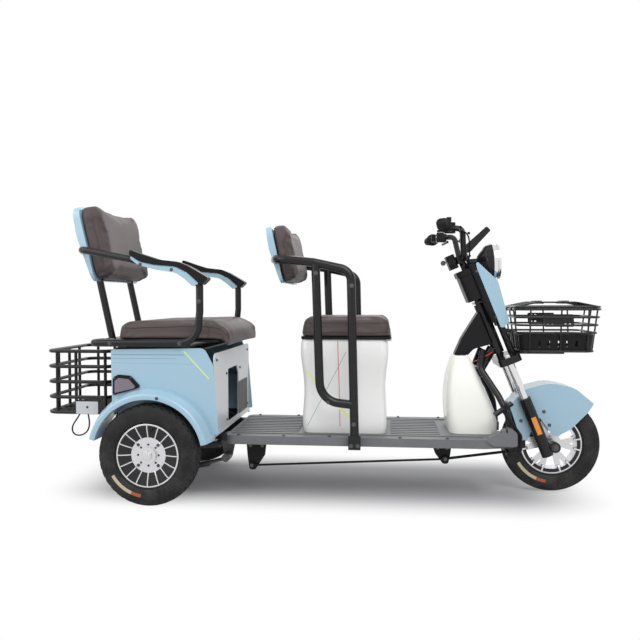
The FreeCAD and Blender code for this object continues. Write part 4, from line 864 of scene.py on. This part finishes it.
class TRICYCLE_OT_cushions(Maker, bpy.types.Operator):
    """Bench and driver's cushions, swollen as cloth, with sewn seams"""
    bl_idname = "tricycle.cushions"
    bl_label = "Cushions"

    def make(self):
        self.bench()
        self.driver()

    def bench(self):
        low, high = corners_of("bench_cushion")
        s = sizes()
        gap = s.swell * 0.65
        half = high.y - gap
        back, nose, top = low.x + gap, high.x - gap, high.z - gap
        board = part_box("bench_base")[1]
        base, lip = board[2] + 0.001, board[0]
        # Side view from the rear corner over the top and round the drooping nose
        outline = [(back, base), (back, top - 0.018), (back + 0.014, top - 0.007), (nose - 0.085, top),
                   (nose - 0.048, top - 0.006), (nose - 0.020, top - 0.020), (nose - 0.004, top - 0.037),
                   (nose, top - 0.050), (nose - 0.005, top - 0.064), (lip + 0.024, low.z + gap + 0.003),
                   (lip + 0.014, low.z + gap + 0.003), (lip + 0.010, low.z + gap + 0.014),
                   (lip + 0.010, base)]
        bm = bmesh.new()
        prism(bm, [Vector((x, -half, z)) for x, z in outline], Vector((0, 2 * half, 0)))
        soften_ends(bm, 0.014)
        piece = padded_cover("bench_cushion_cover", bm, "chassis", "bench_cushion", s.swell,
                             lambda p: p.z < base + 0.004 and p.x < lip)
        # Both sides are sewn along the nose and, behind it, down to the board; one seam crosses the top
        rim, seams = [], []
        for side in (-1, 1):
            run = [Vector((x, side * half, z - 0.010)) for x, z in outline[2:7]]
            rim.append(spread(run[::side], 0.02, False))
            down = [Vector((nose - x, side * half, z)) for x, z in (
                (0.086, top), (0.080, top - 0.030), (0.078, base + 0.006))]
            seams.append(spread(down, 0.01, False))
        seams.append(spread([Vector((nose - 0.087, y * half, top + 0.01)) for y in (-1, -0.5, 0, 0.5, 1)],
                            0.02, False))
        lines = sewn(piece, rim, 0.0022, 0.012)
        piping("bench_piping", lines, "chassis", s.piping, closed=False)
        folds = sewn(piece, seams, 0.0020, 0.010)
        piping("bench_seams", folds, "chassis", s.piping * 0.6, closed=False)

    def driver(self):
        low, high = corners_of("driver_cushion")
        s = sizes()
        gap = s.swell * 0.6
        middle = (low + high) / 2
        half = (high - low) / 2
        base, top = low.z + 0.001, high.z - gap
        bm = bmesh.new()
        outline = [p + Vector((middle.x, 0, base)) for p in loop_points(half.x - gap, half.y - gap, 0.034, 5)]
        prism(bm, outline, Vector((0, 0, top - base)))
        lid = [e for e in bm.edges if min(v.co.z for v in e.verts) > top - 0.001]
        bmesh.ops.bevel(bm, geom=lid, offset=0.016, segments=3, profile=0.5, affect="EDGES", material=-1)
        piece = padded_cover("driver_cushion_cover", bm, "driver_seat", "driver_cushion", s.swell * 0.8,
                             lambda p: p.z < base + 0.004)
        ring = [p + Vector((middle.x, 0, 0)) for p in loop_points(half.x, half.y, 0.036, 8)]
        upper = [p + Vector((0, 0, top - 0.012)) for p in ring]
        lower = [p + Vector((0, 0, base + 0.017)) for p in ring]
        lines = sewn(piece, [upper, lower], 0.0020, 0.010)
        piping("driver_piping", lines, "driver_seat", s.piping * 0.9)


def padded_cover(name, bm, body, node, cap, held):
    """A leather cover made of a cut pad, swollen as cloth."""
    piece = put(name, bm, "leather", "leather_brown", body, (node,), sharp=0)
    swell(piece, cap, held)
    return piece


def soften_ends(bm, offset):
    """Bevels the rims of a prism's two end faces."""
    ends = sorted(bm.faces, key=lambda face: len(face.verts))[-2:]
    edges = {edge for face in ends for edge in face.edges}
    bmesh.ops.bevel(bm, geom=list(edges), offset=offset, segments=3, profile=0.5, affect="EDGES", material=-1)


class TRICYCLE_OT_backrests(Maker, bpy.types.Operator):
    """Backrest pads with shouldered tops, swollen as cloth"""
    bl_idname = "tricycle.backrests"
    bl_label = "Backrests"

    def make(self):
        for name, node, lean in (
            ("bench", "bench_back_pad", BACK_LEAN), ("driver", "driver_back_pad", DRIVER_LEAN),
        ):
            self.back(name, node, lean)

    def back(self, name, node, lean):
        low, high = corners_of(node)
        s = sizes()
        gap = s.swell * 0.7
        up = Vector((-math.sin(lean), 0, math.cos(lean)))
        out = Vector((math.cos(lean), 0, math.sin(lean)))
        half = high.y - gap
        # The pad's box in its own leaning frame
        long, tall, slope = high.x - low.x, high.z - low.z, math.tan(lean)
        thick = (long - tall * slope) / (math.cos(lean) - math.sin(lean) * slope)
        height = (tall - thick * math.sin(lean)) / math.cos(lean)
        foot = Vector((low.x + height * math.sin(lean), 0, low.z))
        rows = [(-half + 0.034, 0.004), (half - 0.034, 0.004), (half - 0.010, 0.014), (half, 0.040),
                (half, height - 0.048), (half - 0.004, height - 0.030), (half - 0.014, height - 0.014),
                (half - 0.030, height - 0.004), (half - 0.052, height - 0.002), (half * 0.45, height - 0.009),
                (0, height - 0.013)]
        rows += [(-y, z) for y, z in reversed(rows[2:-1])]
        bm = bmesh.new()
        outline = [foot + up * z + Vector((0, y, 0)) + out * 0.002 for y, z in rows]
        prism(bm, outline, out * (thick - gap - 0.002))
        soften_ends(bm, 0.013)
        piece = padded_cover(name + "_back_cover", bm, "chassis", node, s.swell * 0.9,
                             lambda p: (p - foot).dot(out) < 0.006)
        rim = spread([foot + up * z + Vector((0, y, 0)) + out * (thick * 0.62) for y, z in rows], 0.02)
        lines = sewn(piece, [rim], 0.0018, 0.010)
        piping(name + "_back_piping", lines, "chassis", s.piping * 0.8)


class TRICYCLE_OT_headlight(Maker, bpy.types.Operator):
    """What shows through the headlight's lens: reflector and bulb"""
    bl_idname = "tricycle.headlight"
    bl_label = "Headlight"

    TILT = math.radians(4)
    RIM_MIDDLE = 0.0057
    # Profiles in rows of (distance ahead of the rim, radius): the bowl inside and back outside, and the band
    BOWL = [(-0.048, 0.0), (-0.047, 0.014), (-0.038, 0.036), (-0.020, 0.054), (-0.001, 0.0655),
            (-0.001, 0.0645), (-0.019, 0.053), (-0.0365, 0.035), (-0.0455, 0.0135), (-0.0465, 0.0)]
    BAND = [(-0.015, 0.0672), (-0.0145, 0.0708), (-0.001, 0.0742), (0.0, 0.0738), (0.0, 0.0700)]

    def make(self):
        low, high = corners_of("headlight_rim")
        aim = Vector((math.cos(self.TILT), 0, math.sin(self.TILT)))
        at = (low + high) / 2 - aim * self.RIM_MIDDLE
        side = Vector((0, 1, 0))
        chrome = ("chrome", "chrome")
        turned("headlight_reflector", self.BOWL, at, aim, side, chrome, "steering", closed=False)
        turned("headlight_band", self.BAND, at, aim, side, chrome, "steering")
        bulb = bmesh.new()
        cylinder(bulb, at - aim * 0.044, at - aim * 0.028, 0.011, 20)
        cylinder(bulb, at - aim * 0.028, at - aim * 0.010, 0.006, 20, 0.003)
        bar = side * 0.030
        cylinder(bulb, at - aim * 0.006 - bar, at - aim * 0.006 + bar, 0.0025, 12)
        put("headlight_bulb", bulb, "steel", "steel", "steering")


def around(centre, radius, turns):
    """A point at radius from an axle, turned about it from upright by a part of a full turn."""
    return centre + Matrix.Rotation(math.tau * turns, 3, "Y") @ Vector((0, 0, radius))


class TRICYCLE_OT_hubs(Maker, bpy.types.Operator):
    """The dished faces of the rims, with spokes out to a bright lip, hub caps, bolts and valves"""
    bl_idname = "tricycle.hubs"
    bl_label = "Hubs"

    # Spokes of each rim by degrees from upright; the front ones stand beside its wide windows
    REAR_SPOKES = [i * 22.5 for i in range(16)]
    FRONT_SPOKES = [i * 60 + turn for i in range(6) for turn in (-18.7, 18.7)]
    # Profiles in rows of (distance out from the wheel's middle, radius)
    # SHADE is a sheet of painted shade across the rim's windows
    SHADE = [(0.0294, 0.0962), (0.0296, 0.1092), (0.0288, 0.1092), (0.0286, 0.0968)]
    LIP = [(0.0288, 0.1085), (0.0308, 0.1096), (0.0312, 0.1128), (0.0302, 0.1150), (0.0288, 0.1150)]
    BEAD = [(0.0288, 0.1148), (0.0306, 0.1156), (0.0335, 0.1180), (0.0345, 0.1206), (0.0290, 0.1206)]
    SPOKE_ENDS = [(0.0302, 0.0962), (0.0306, 0.1100)]
    # Where the sheet of painted shade and the spokes start, and half a spoke's width
    FRONT_ROOTS = ((0.0290, 0.0966), (0.0262, 0.088), 0.0040)
    REAR_ROOTS = ((0.0185, 0.064), (0.0185, 0.062), 0.0028)
    # A spoke's section: (share of its half width, height over its line)
    SPOKE = ((-1, -0.004), (1, -0.004), (0.7, 0.0012), (-0.7, 0.0012))
    HUB_FACE = 0.018
    PAD_CIRCLE = 0.052
    BOLT_CIRCLE = 0.038

    def make(self):
        for name, body in (("front_right", "front_wheel"), ("front_left", "front_wheel"),
                           ("right", "rear_wheel_right"), ("left", "rear_wheel_left")):
            out = Vector((0, 1 if name.endswith("left") else -1, 0))
            if body == "front_wheel":
                self.dish(name, FRONT_AXLE, body, out, self.FRONT_SPOKES, *self.FRONT_ROOTS)
            else:
                centre = REAR_AXLES[name]
                self.dish(name, centre, body, out, self.REAR_SPOKES, *self.REAR_ROOTS)
                self.cap(name, centre, body, out)

    def dish(self, name, centre, body, out, spokes, inner, root, half):
        up = Vector((0, 0, 1))
        # A near-black sheet across the windows of the dish: painted shade
        turned("rim_shade_" + name, [inner] + self.SHADE + [(inner[0] - 0.0008, inner[1])], centre, out, up,
               ("dark inside", "cover_black"), body)
        metal = bmesh.new()
        spin_profile(metal, self.LIP, centre, out, up)
        for degrees in spokes:
            turn = Matrix.Rotation(math.radians(degrees), 3, "Y")
            self.spoke(metal, turn, centre, out, [root] + self.SPOKE_ENDS, half)
        outward(metal)
        put("rim_spokes_" + name, metal, "rim", "rim_silver", body)
        turned("tyre_bead_" + name, self.BEAD, centre, out, up, ("rubber", "tyre_black"), body)
        ray = Vector((math.sin(0.2), 0, math.cos(0.2)))
        valve = bmesh.new()
        spot = centre + ray * 0.101 + out * 0.029
        cylinder(valve, spot, spot + out * 0.010 - ray * 0.010, 0.0032, 12)
        put("valve_" + name, valve, "satin black", "cover_black", body)

    def spoke(self, bm, turn, centre, out, path, half):
        ray, across = turn @ Vector((0, 0, 1)), turn @ Vector((1, 0, 0))
        rings = [[bm.verts.new(centre + ray * radius + out * (along + high) + across * wide * half)
                  for wide, high in self.SPOKE] for along, radius in path]
        bm.faces.new(rings[0])
        bm.faces.new(rings[-1])
        for near, far in zip(rings, rings[1:]):
            for i in range(4):
                bm.faces.new((near[i], near[i - 1], far[i - 1], far[i]))

    def cap(self, name, centre, body, out):
        metal = bmesh.new()
        cylinder(metal, centre + out * 0.0292, centre + out * 0.034, 0.017, 40)
        cylinder(metal, centre + out * 0.034, centre + out * 0.036, 0.012, 40)
        bolts = bmesh.new()
        for i in range(8):
            bolt(bolts, around(centre, self.BOLT_CIRCLE, i / 8) + out * self.HUB_FACE, out, 0.0030, 0.004)
        for i in range(4):
            spot = around(centre, self.PAD_CIRCLE, (i + 0.5) / 4) + out * self.HUB_FACE
            cylinder(metal, spot, spot + out * 0.0016, 0.0095, 28)
            bolt(bolts, spot + out * 0.0014, out, 0.0045, 0.004)
        put("hub_caps_" + name, metal, "rim", "rim_silver", body, bevel=0.0006)
        put("hub_bolts_" + name, bolts, "spring steel", "steel", body, bevel=0.0005)


# Small screws and bolts: node, rows of (x from the rear axle, y, z), the way out, head radius, and whether
# mirrored. Each is dropped against that way until it meets the node.
SCREWS = (
    ("hoop_brackets", ((0.723, 0.3, 0.212), (0.747, 0.3, 0.212)), "y", 0.0055, True),
    ("side_panel_{side}", ((0.039, 0.4, 0.391),), "y", 0.0045, True),
    ("tail_surrounds", ((-0.141, 0.4, 0.396), (-0.078, 0.4, 0.459), (-0.141, 0.4, 0.455)), "y", 0.0028, True),
    ("armrest_shells", ((0.085, 0.4, 0.849), (-0.030, 0.4, 0.869)), "y", 0.0045, True),
    ("bench_frame", ((0.182, 0.4, 0.735), (0.110, 0.4, 0.584), (-0.150, 0.4, 0.584)), "y", 0.0060, True),
    ("driver_frame", ((0.733, 0.4, 0.290), (0.726, 0.4, 0.790), (0.640, 0.4, 0.369), (0.596, 0.4, 0.836)),
     "y", 0.0060, True),
    ("leaf_springs", ((0.250, 0.4, 0.148), (-0.185, 0.4, 0.148), (-0.020, 0.4, 0.110), (0.020, 0.4, 0.110)),
     "y", 0.0080, True),
    ("deck", tuple((x, 0.212, 0.4) for x in (0.300, 0.470, 0.640, 0.900, 1.070)), "z", 0.0055, True),
    ("body_front", ((0.5, 0.262, 0.520), (0.5, 0.262, 0.280), (0.5, 0.115, 0.455), (0.5, 0.115, 0.275)), "x",
     0.0045, True),
    ("brake_linkage", ((1.066, -0.4, 0.152), (1.040, -0.4, 0.190), (1.074, -0.4, 0.190), (0.342, -0.4, 0.112),
                       (0.334, -0.4, 0.185), (0.380, -0.4, 0.185)), "y", 0.0050, False),
    ("fork_legs", ((1.480, 0.4, 0.184),), "y", 0.0095, True),
    ("front_fender", ((1.361, 0.4, 0.277), (1.446, 0.4, 0.313), (1.467, 0.4, 0.262)), "y", 0.0050, True),
    ("lamp_bracket", ((1.190, 0.4, 0.846), (1.262, 0.4, 0.672)), "y", 0.0040, True),
    ("basket_carrier", ((1.262, 0.4, 0.684), (1.330, 0.4, 0.618)), "y", 0.0040, True),
)
WAYS = {"x": Vector((1, 0, 0)), "z": Vector((0, 0, 1))}


def body_of(node):
    """The body that a node of the frame rides on."""
    for body, nodes in frame["record"]["behaviour"]["bodies"].items():
        if node in nodes:
            return body


def seated(node, point, way):
    """Where a point dropped against way meets a node."""
    tree = BVHTree.FromObject(frame["nodes"][node], bpy.context.evaluated_depsgraph_get())
    return tree.ray_cast(point, -way)[:2]


class TRICYCLE_OT_screws(Maker, bpy.types.Operator):
    """Bolt heads and screws, dropped on to the pieces that they hold"""
    bl_idname = "tricycle.screws"
    bl_label = "Screws"

    def make(self):
        by_body = {}
        for pattern, rows, way, radius, both in SCREWS:
            for x, y, z in rows:
                for side, name in ((1, "left"), (-1, "right")) if both else ((1, "right"),):
                    node = pattern.format(side=name)
                    point = from_axle(x, y * side, z)
                    out = WAYS[way] if way != "y" else Vector((0, math.copysign(1, point.y), 0))
                    spot, normal = seated(node, point, out)
                    if spot is None:
                        print("no seat for a screw on", node, tuple(point))
                        continue
                    bm = by_body.setdefault(body_of(node), bmesh.new())
                    bolt(bm, spot - normal * 0.0003, normal, radius, radius * 0.9)
        for body, bm in by_body.items():
            put("screws_" + body, bm, "steel", "steel", body, bevel=0.0004)


class TRICYCLE_OT_controls(Maker, bpy.types.Operator):
    """Grip ribs, bar ends, switches, key and clipped cables"""
    bl_idname = "tricycle.controls"
    bl_label = "Controls"

    # Profiles of a bar end in rows of (distance in from the grip's end, radius)
    PLUG = [(-0.006, 0.0), (-0.0058, 0.0085), (-0.004, 0.0115), (-0.0025, 0.0115), (-0.0025, 0.0)]
    RING = [(-0.0034, 0.0140), (-0.0044, 0.0152), (-0.0034, 0.0166), (-0.0024, 0.0152)]
    BUTTON = Vector((0.003, 0.003, 0.004))

    def make(self):
        for side, name in ((-1, "right"), (1, "left")):
            self.grip(side, name)
            self.switch(side, name)
            self.cable(side, name)
        self.key()

    def grip(self, side, name):
        start, end = from_axle(1.034, side * 0.351, 0.998), from_axle(1.068, side * 0.202, 1.000)
        line = (end - start).normalized()
        up = Vector((0, 0, 1))
        ribs = bmesh.new()
        for i in range(22):
            far = 0.012 + 0.0044 * i
            spot = seated("grips", start + line * far + up * 0.1, up)[0]
            radius = (spot - start - line * far).length + 0.0006
            rows = [(far - 0.0012, radius - 0.002), (far - 0.0008, radius), (far + 0.0008, radius),
                    (far + 0.0012, radius - 0.002)]
            spin_profile(ribs, rows, start, line, up, steps=32)
        outward(ribs)
        put("grip_ribs_" + name, ribs, "rubber", "grip_rubber", "steering", sharp=0)
        cap = bmesh.new()
        spin_profile(cap, self.PLUG, start, line, up, closed=False)
        spin_profile(cap, self.RING, start, line, up)
        outward(cap)
        put("bar_end_" + name, cap, "satin black", "cover_black", "steering")

    def switch(self, side, name):
        at = from_axle(1.078, side * 0.182, 1.000)
        for label, half, look, slot, bevel in (
            ("pod", Vector((0.020, 0.014, 0.020)), "satin black", "cover_black", 0.004),
            ("band", Vector((0.0215, 0.002, 0.0215)), "chrome", "chrome", 0.003),
        ):
            bm = bmesh.new()
            block(bm, at - half, at + half)
            put("switch_" + label + "_" + name, bm, look, slot, "steering", bevel=bevel)
        buttons = bmesh.new()
        for z in (0.008, -0.006):
            spot = at + Vector((-0.0205, -0.007, z))
            block(buttons, spot - self.BUTTON, spot + self.BUTTON)
        put("switch_buttons_" + name, buttons, "steel", "steel", "steering", bevel=0.001)

    def cable(self, side, name):
        points = [from_axle(x, side * y, z) for x, y, z in (
            (1.092, 0.206, 0.994), (1.122, 0.180, 0.992), (1.152, 0.140, 0.985), (1.160, 0.100, 0.945),
            (1.163, 0.078, 0.905), (1.160, 0.060, 0.872), (1.158, 0.045, 0.862))]
        bm = bmesh.new()
        rounded_bar(bm, points, 0.0028)
        for spot in (points[2], points[4]):
            cylinder(bm, spot - Vector((0, 0, 0.004)), spot + Vector((0, 0, 0.004)), 0.0045, 14)
        outward(bm)
        put("brake_cable_" + name, bm, "satin black", "cover_black", "steering", sharp=0)

    def key(self):
        low, high = corners_of("bar_switches")
        out = -AHEAD
        lock = bmesh.new()
        at = Vector((low.x + 0.024, 0, (low.z + high.z) / 2 + 0.010))
        cylinder(lock, at, at + out * 0.010, 0.014, 36)
        cylinder(lock, at + out * 0.010, at + out * 0.012, 0.009, 36)
        put("key_lock", lock, "steel", "steel", "steering", bevel=0.0012)
        key = bmesh.new()
        blade, bow = Vector((0.001, 0.001, 0.004)), Vector((0, 0.0015, 0))
        block(key, at + out * 0.012 - blade, at + out * 0.030 + blade)
        cylinder(key, at + out * 0.032 - bow, at + out * 0.032 + bow, 0.010, 32)
        put("key", key, "steel", "steel", "steering", bevel=0.0005)


class TRICYCLE_OT_wiring(Maker, bpy.types.Operator):
    """Short fixed cables, and a thin black sheet on the front panel beside the battery opening: painted shade in
    the shape of a dark opening
    """
    bl_idname = "tricycle.wiring"
    bl_label = "Wiring"

    # Points forward from the rear axle, to the left and up
    REAR_CABLE = [(x, -0.100, z) for x, z in (
        (-0.366, 0.300), (-0.384, 0.266), (-0.410, 0.240), (-0.408, 0.204), (-0.378, 0.194),
        (-0.346, 0.208), (-0.332, 0.240), (-0.338, 0.275), (-0.344, 0.300))]
    NECK_WIRE = [(1.186, -0.030, 0.498), (1.206, -0.034, 0.508), (1.235, -0.030, 0.522),
                 (1.264, -0.014, 0.538)]
    OPENING_SHADE_OUTLINE = ((0.088, 0.262), (0.088, 0.398), (0.246, 0.398), (0.252, 0.392), (0.252, 0.262))

    def make(self):
        for name, points, radius, look in (
            ("rear_cable", self.REAR_CABLE, 0.0030, "satin black"),
            ("neck_wire", self.NECK_WIRE, 0.0024, "red"),
        ):
            bm = bmesh.new()
            rounded_bar(bm, [from_axle(*point) for point in points], radius)
            outward(bm)
            put(name, bm, look, "cover_black", "chassis", sharp=0)
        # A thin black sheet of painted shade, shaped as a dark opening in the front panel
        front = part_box("body_front")[1][0] + 0.0003
        panel = bmesh.new()
        prism(panel, [Vector((front, y, z)) for y, z in self.OPENING_SHADE_OUTLINE], Vector((0.0015, 0, 0)))
        put("opening_shade_sheet", panel, "satin black", "cover_black", "chassis")


PIECES = (TRICYCLE_OT_finishes, TRICYCLE_OT_stage, TRICYCLE_OT_tyres, TRICYCLE_OT_hubs, TRICYCLE_OT_cushions,
          TRICYCLE_OT_backrests, TRICYCLE_OT_headlight, TRICYCLE_OT_screws, TRICYCLE_OT_controls,
          TRICYCLE_OT_wiring)


class TRICYCLE_PT_panel(bpy.types.Panel):
    """The tricycle's settings and its makers"""
    bl_idname = "TRICYCLE_PT_panel"
    bl_label = "Tricycle"
    bl_space_type = "VIEW_3D"
    bl_region_type = "UI"
    bl_category = "Tricycle"

    def draw(self, context):
        for settings in (context.scene.tricycle_sizes, context.scene.tricycle_colours):
            for name in settings.__annotations__:
                self.layout.prop(settings, name)
        for piece in PIECES:
            self.layout.operator(piece.bl_idname)


CLASSES = (TricycleSizes, TricycleColours) + PIECES + (TRICYCLE_PT_panel,)


def register():
    for item in CLASSES:
        bpy.utils.register_class(item)
    bpy.types.Scene.tricycle_sizes = bpy.props.PointerProperty(type=TricycleSizes)
    bpy.types.Scene.tricycle_colours = bpy.props.PointerProperty(type=TricycleColours)


def unregister():
    del bpy.types.Scene.tricycle_colours
    del bpy.types.Scene.tricycle_sizes
    for item in reversed(CLASSES):
        bpy.utils.unregister_class(item)


def main():
    register()
    for piece in PIECES:
        family, name = piece.bl_idname.split(".")
        getattr(getattr(bpy.ops, family), name)()


if __name__ == "__main__":
    main()
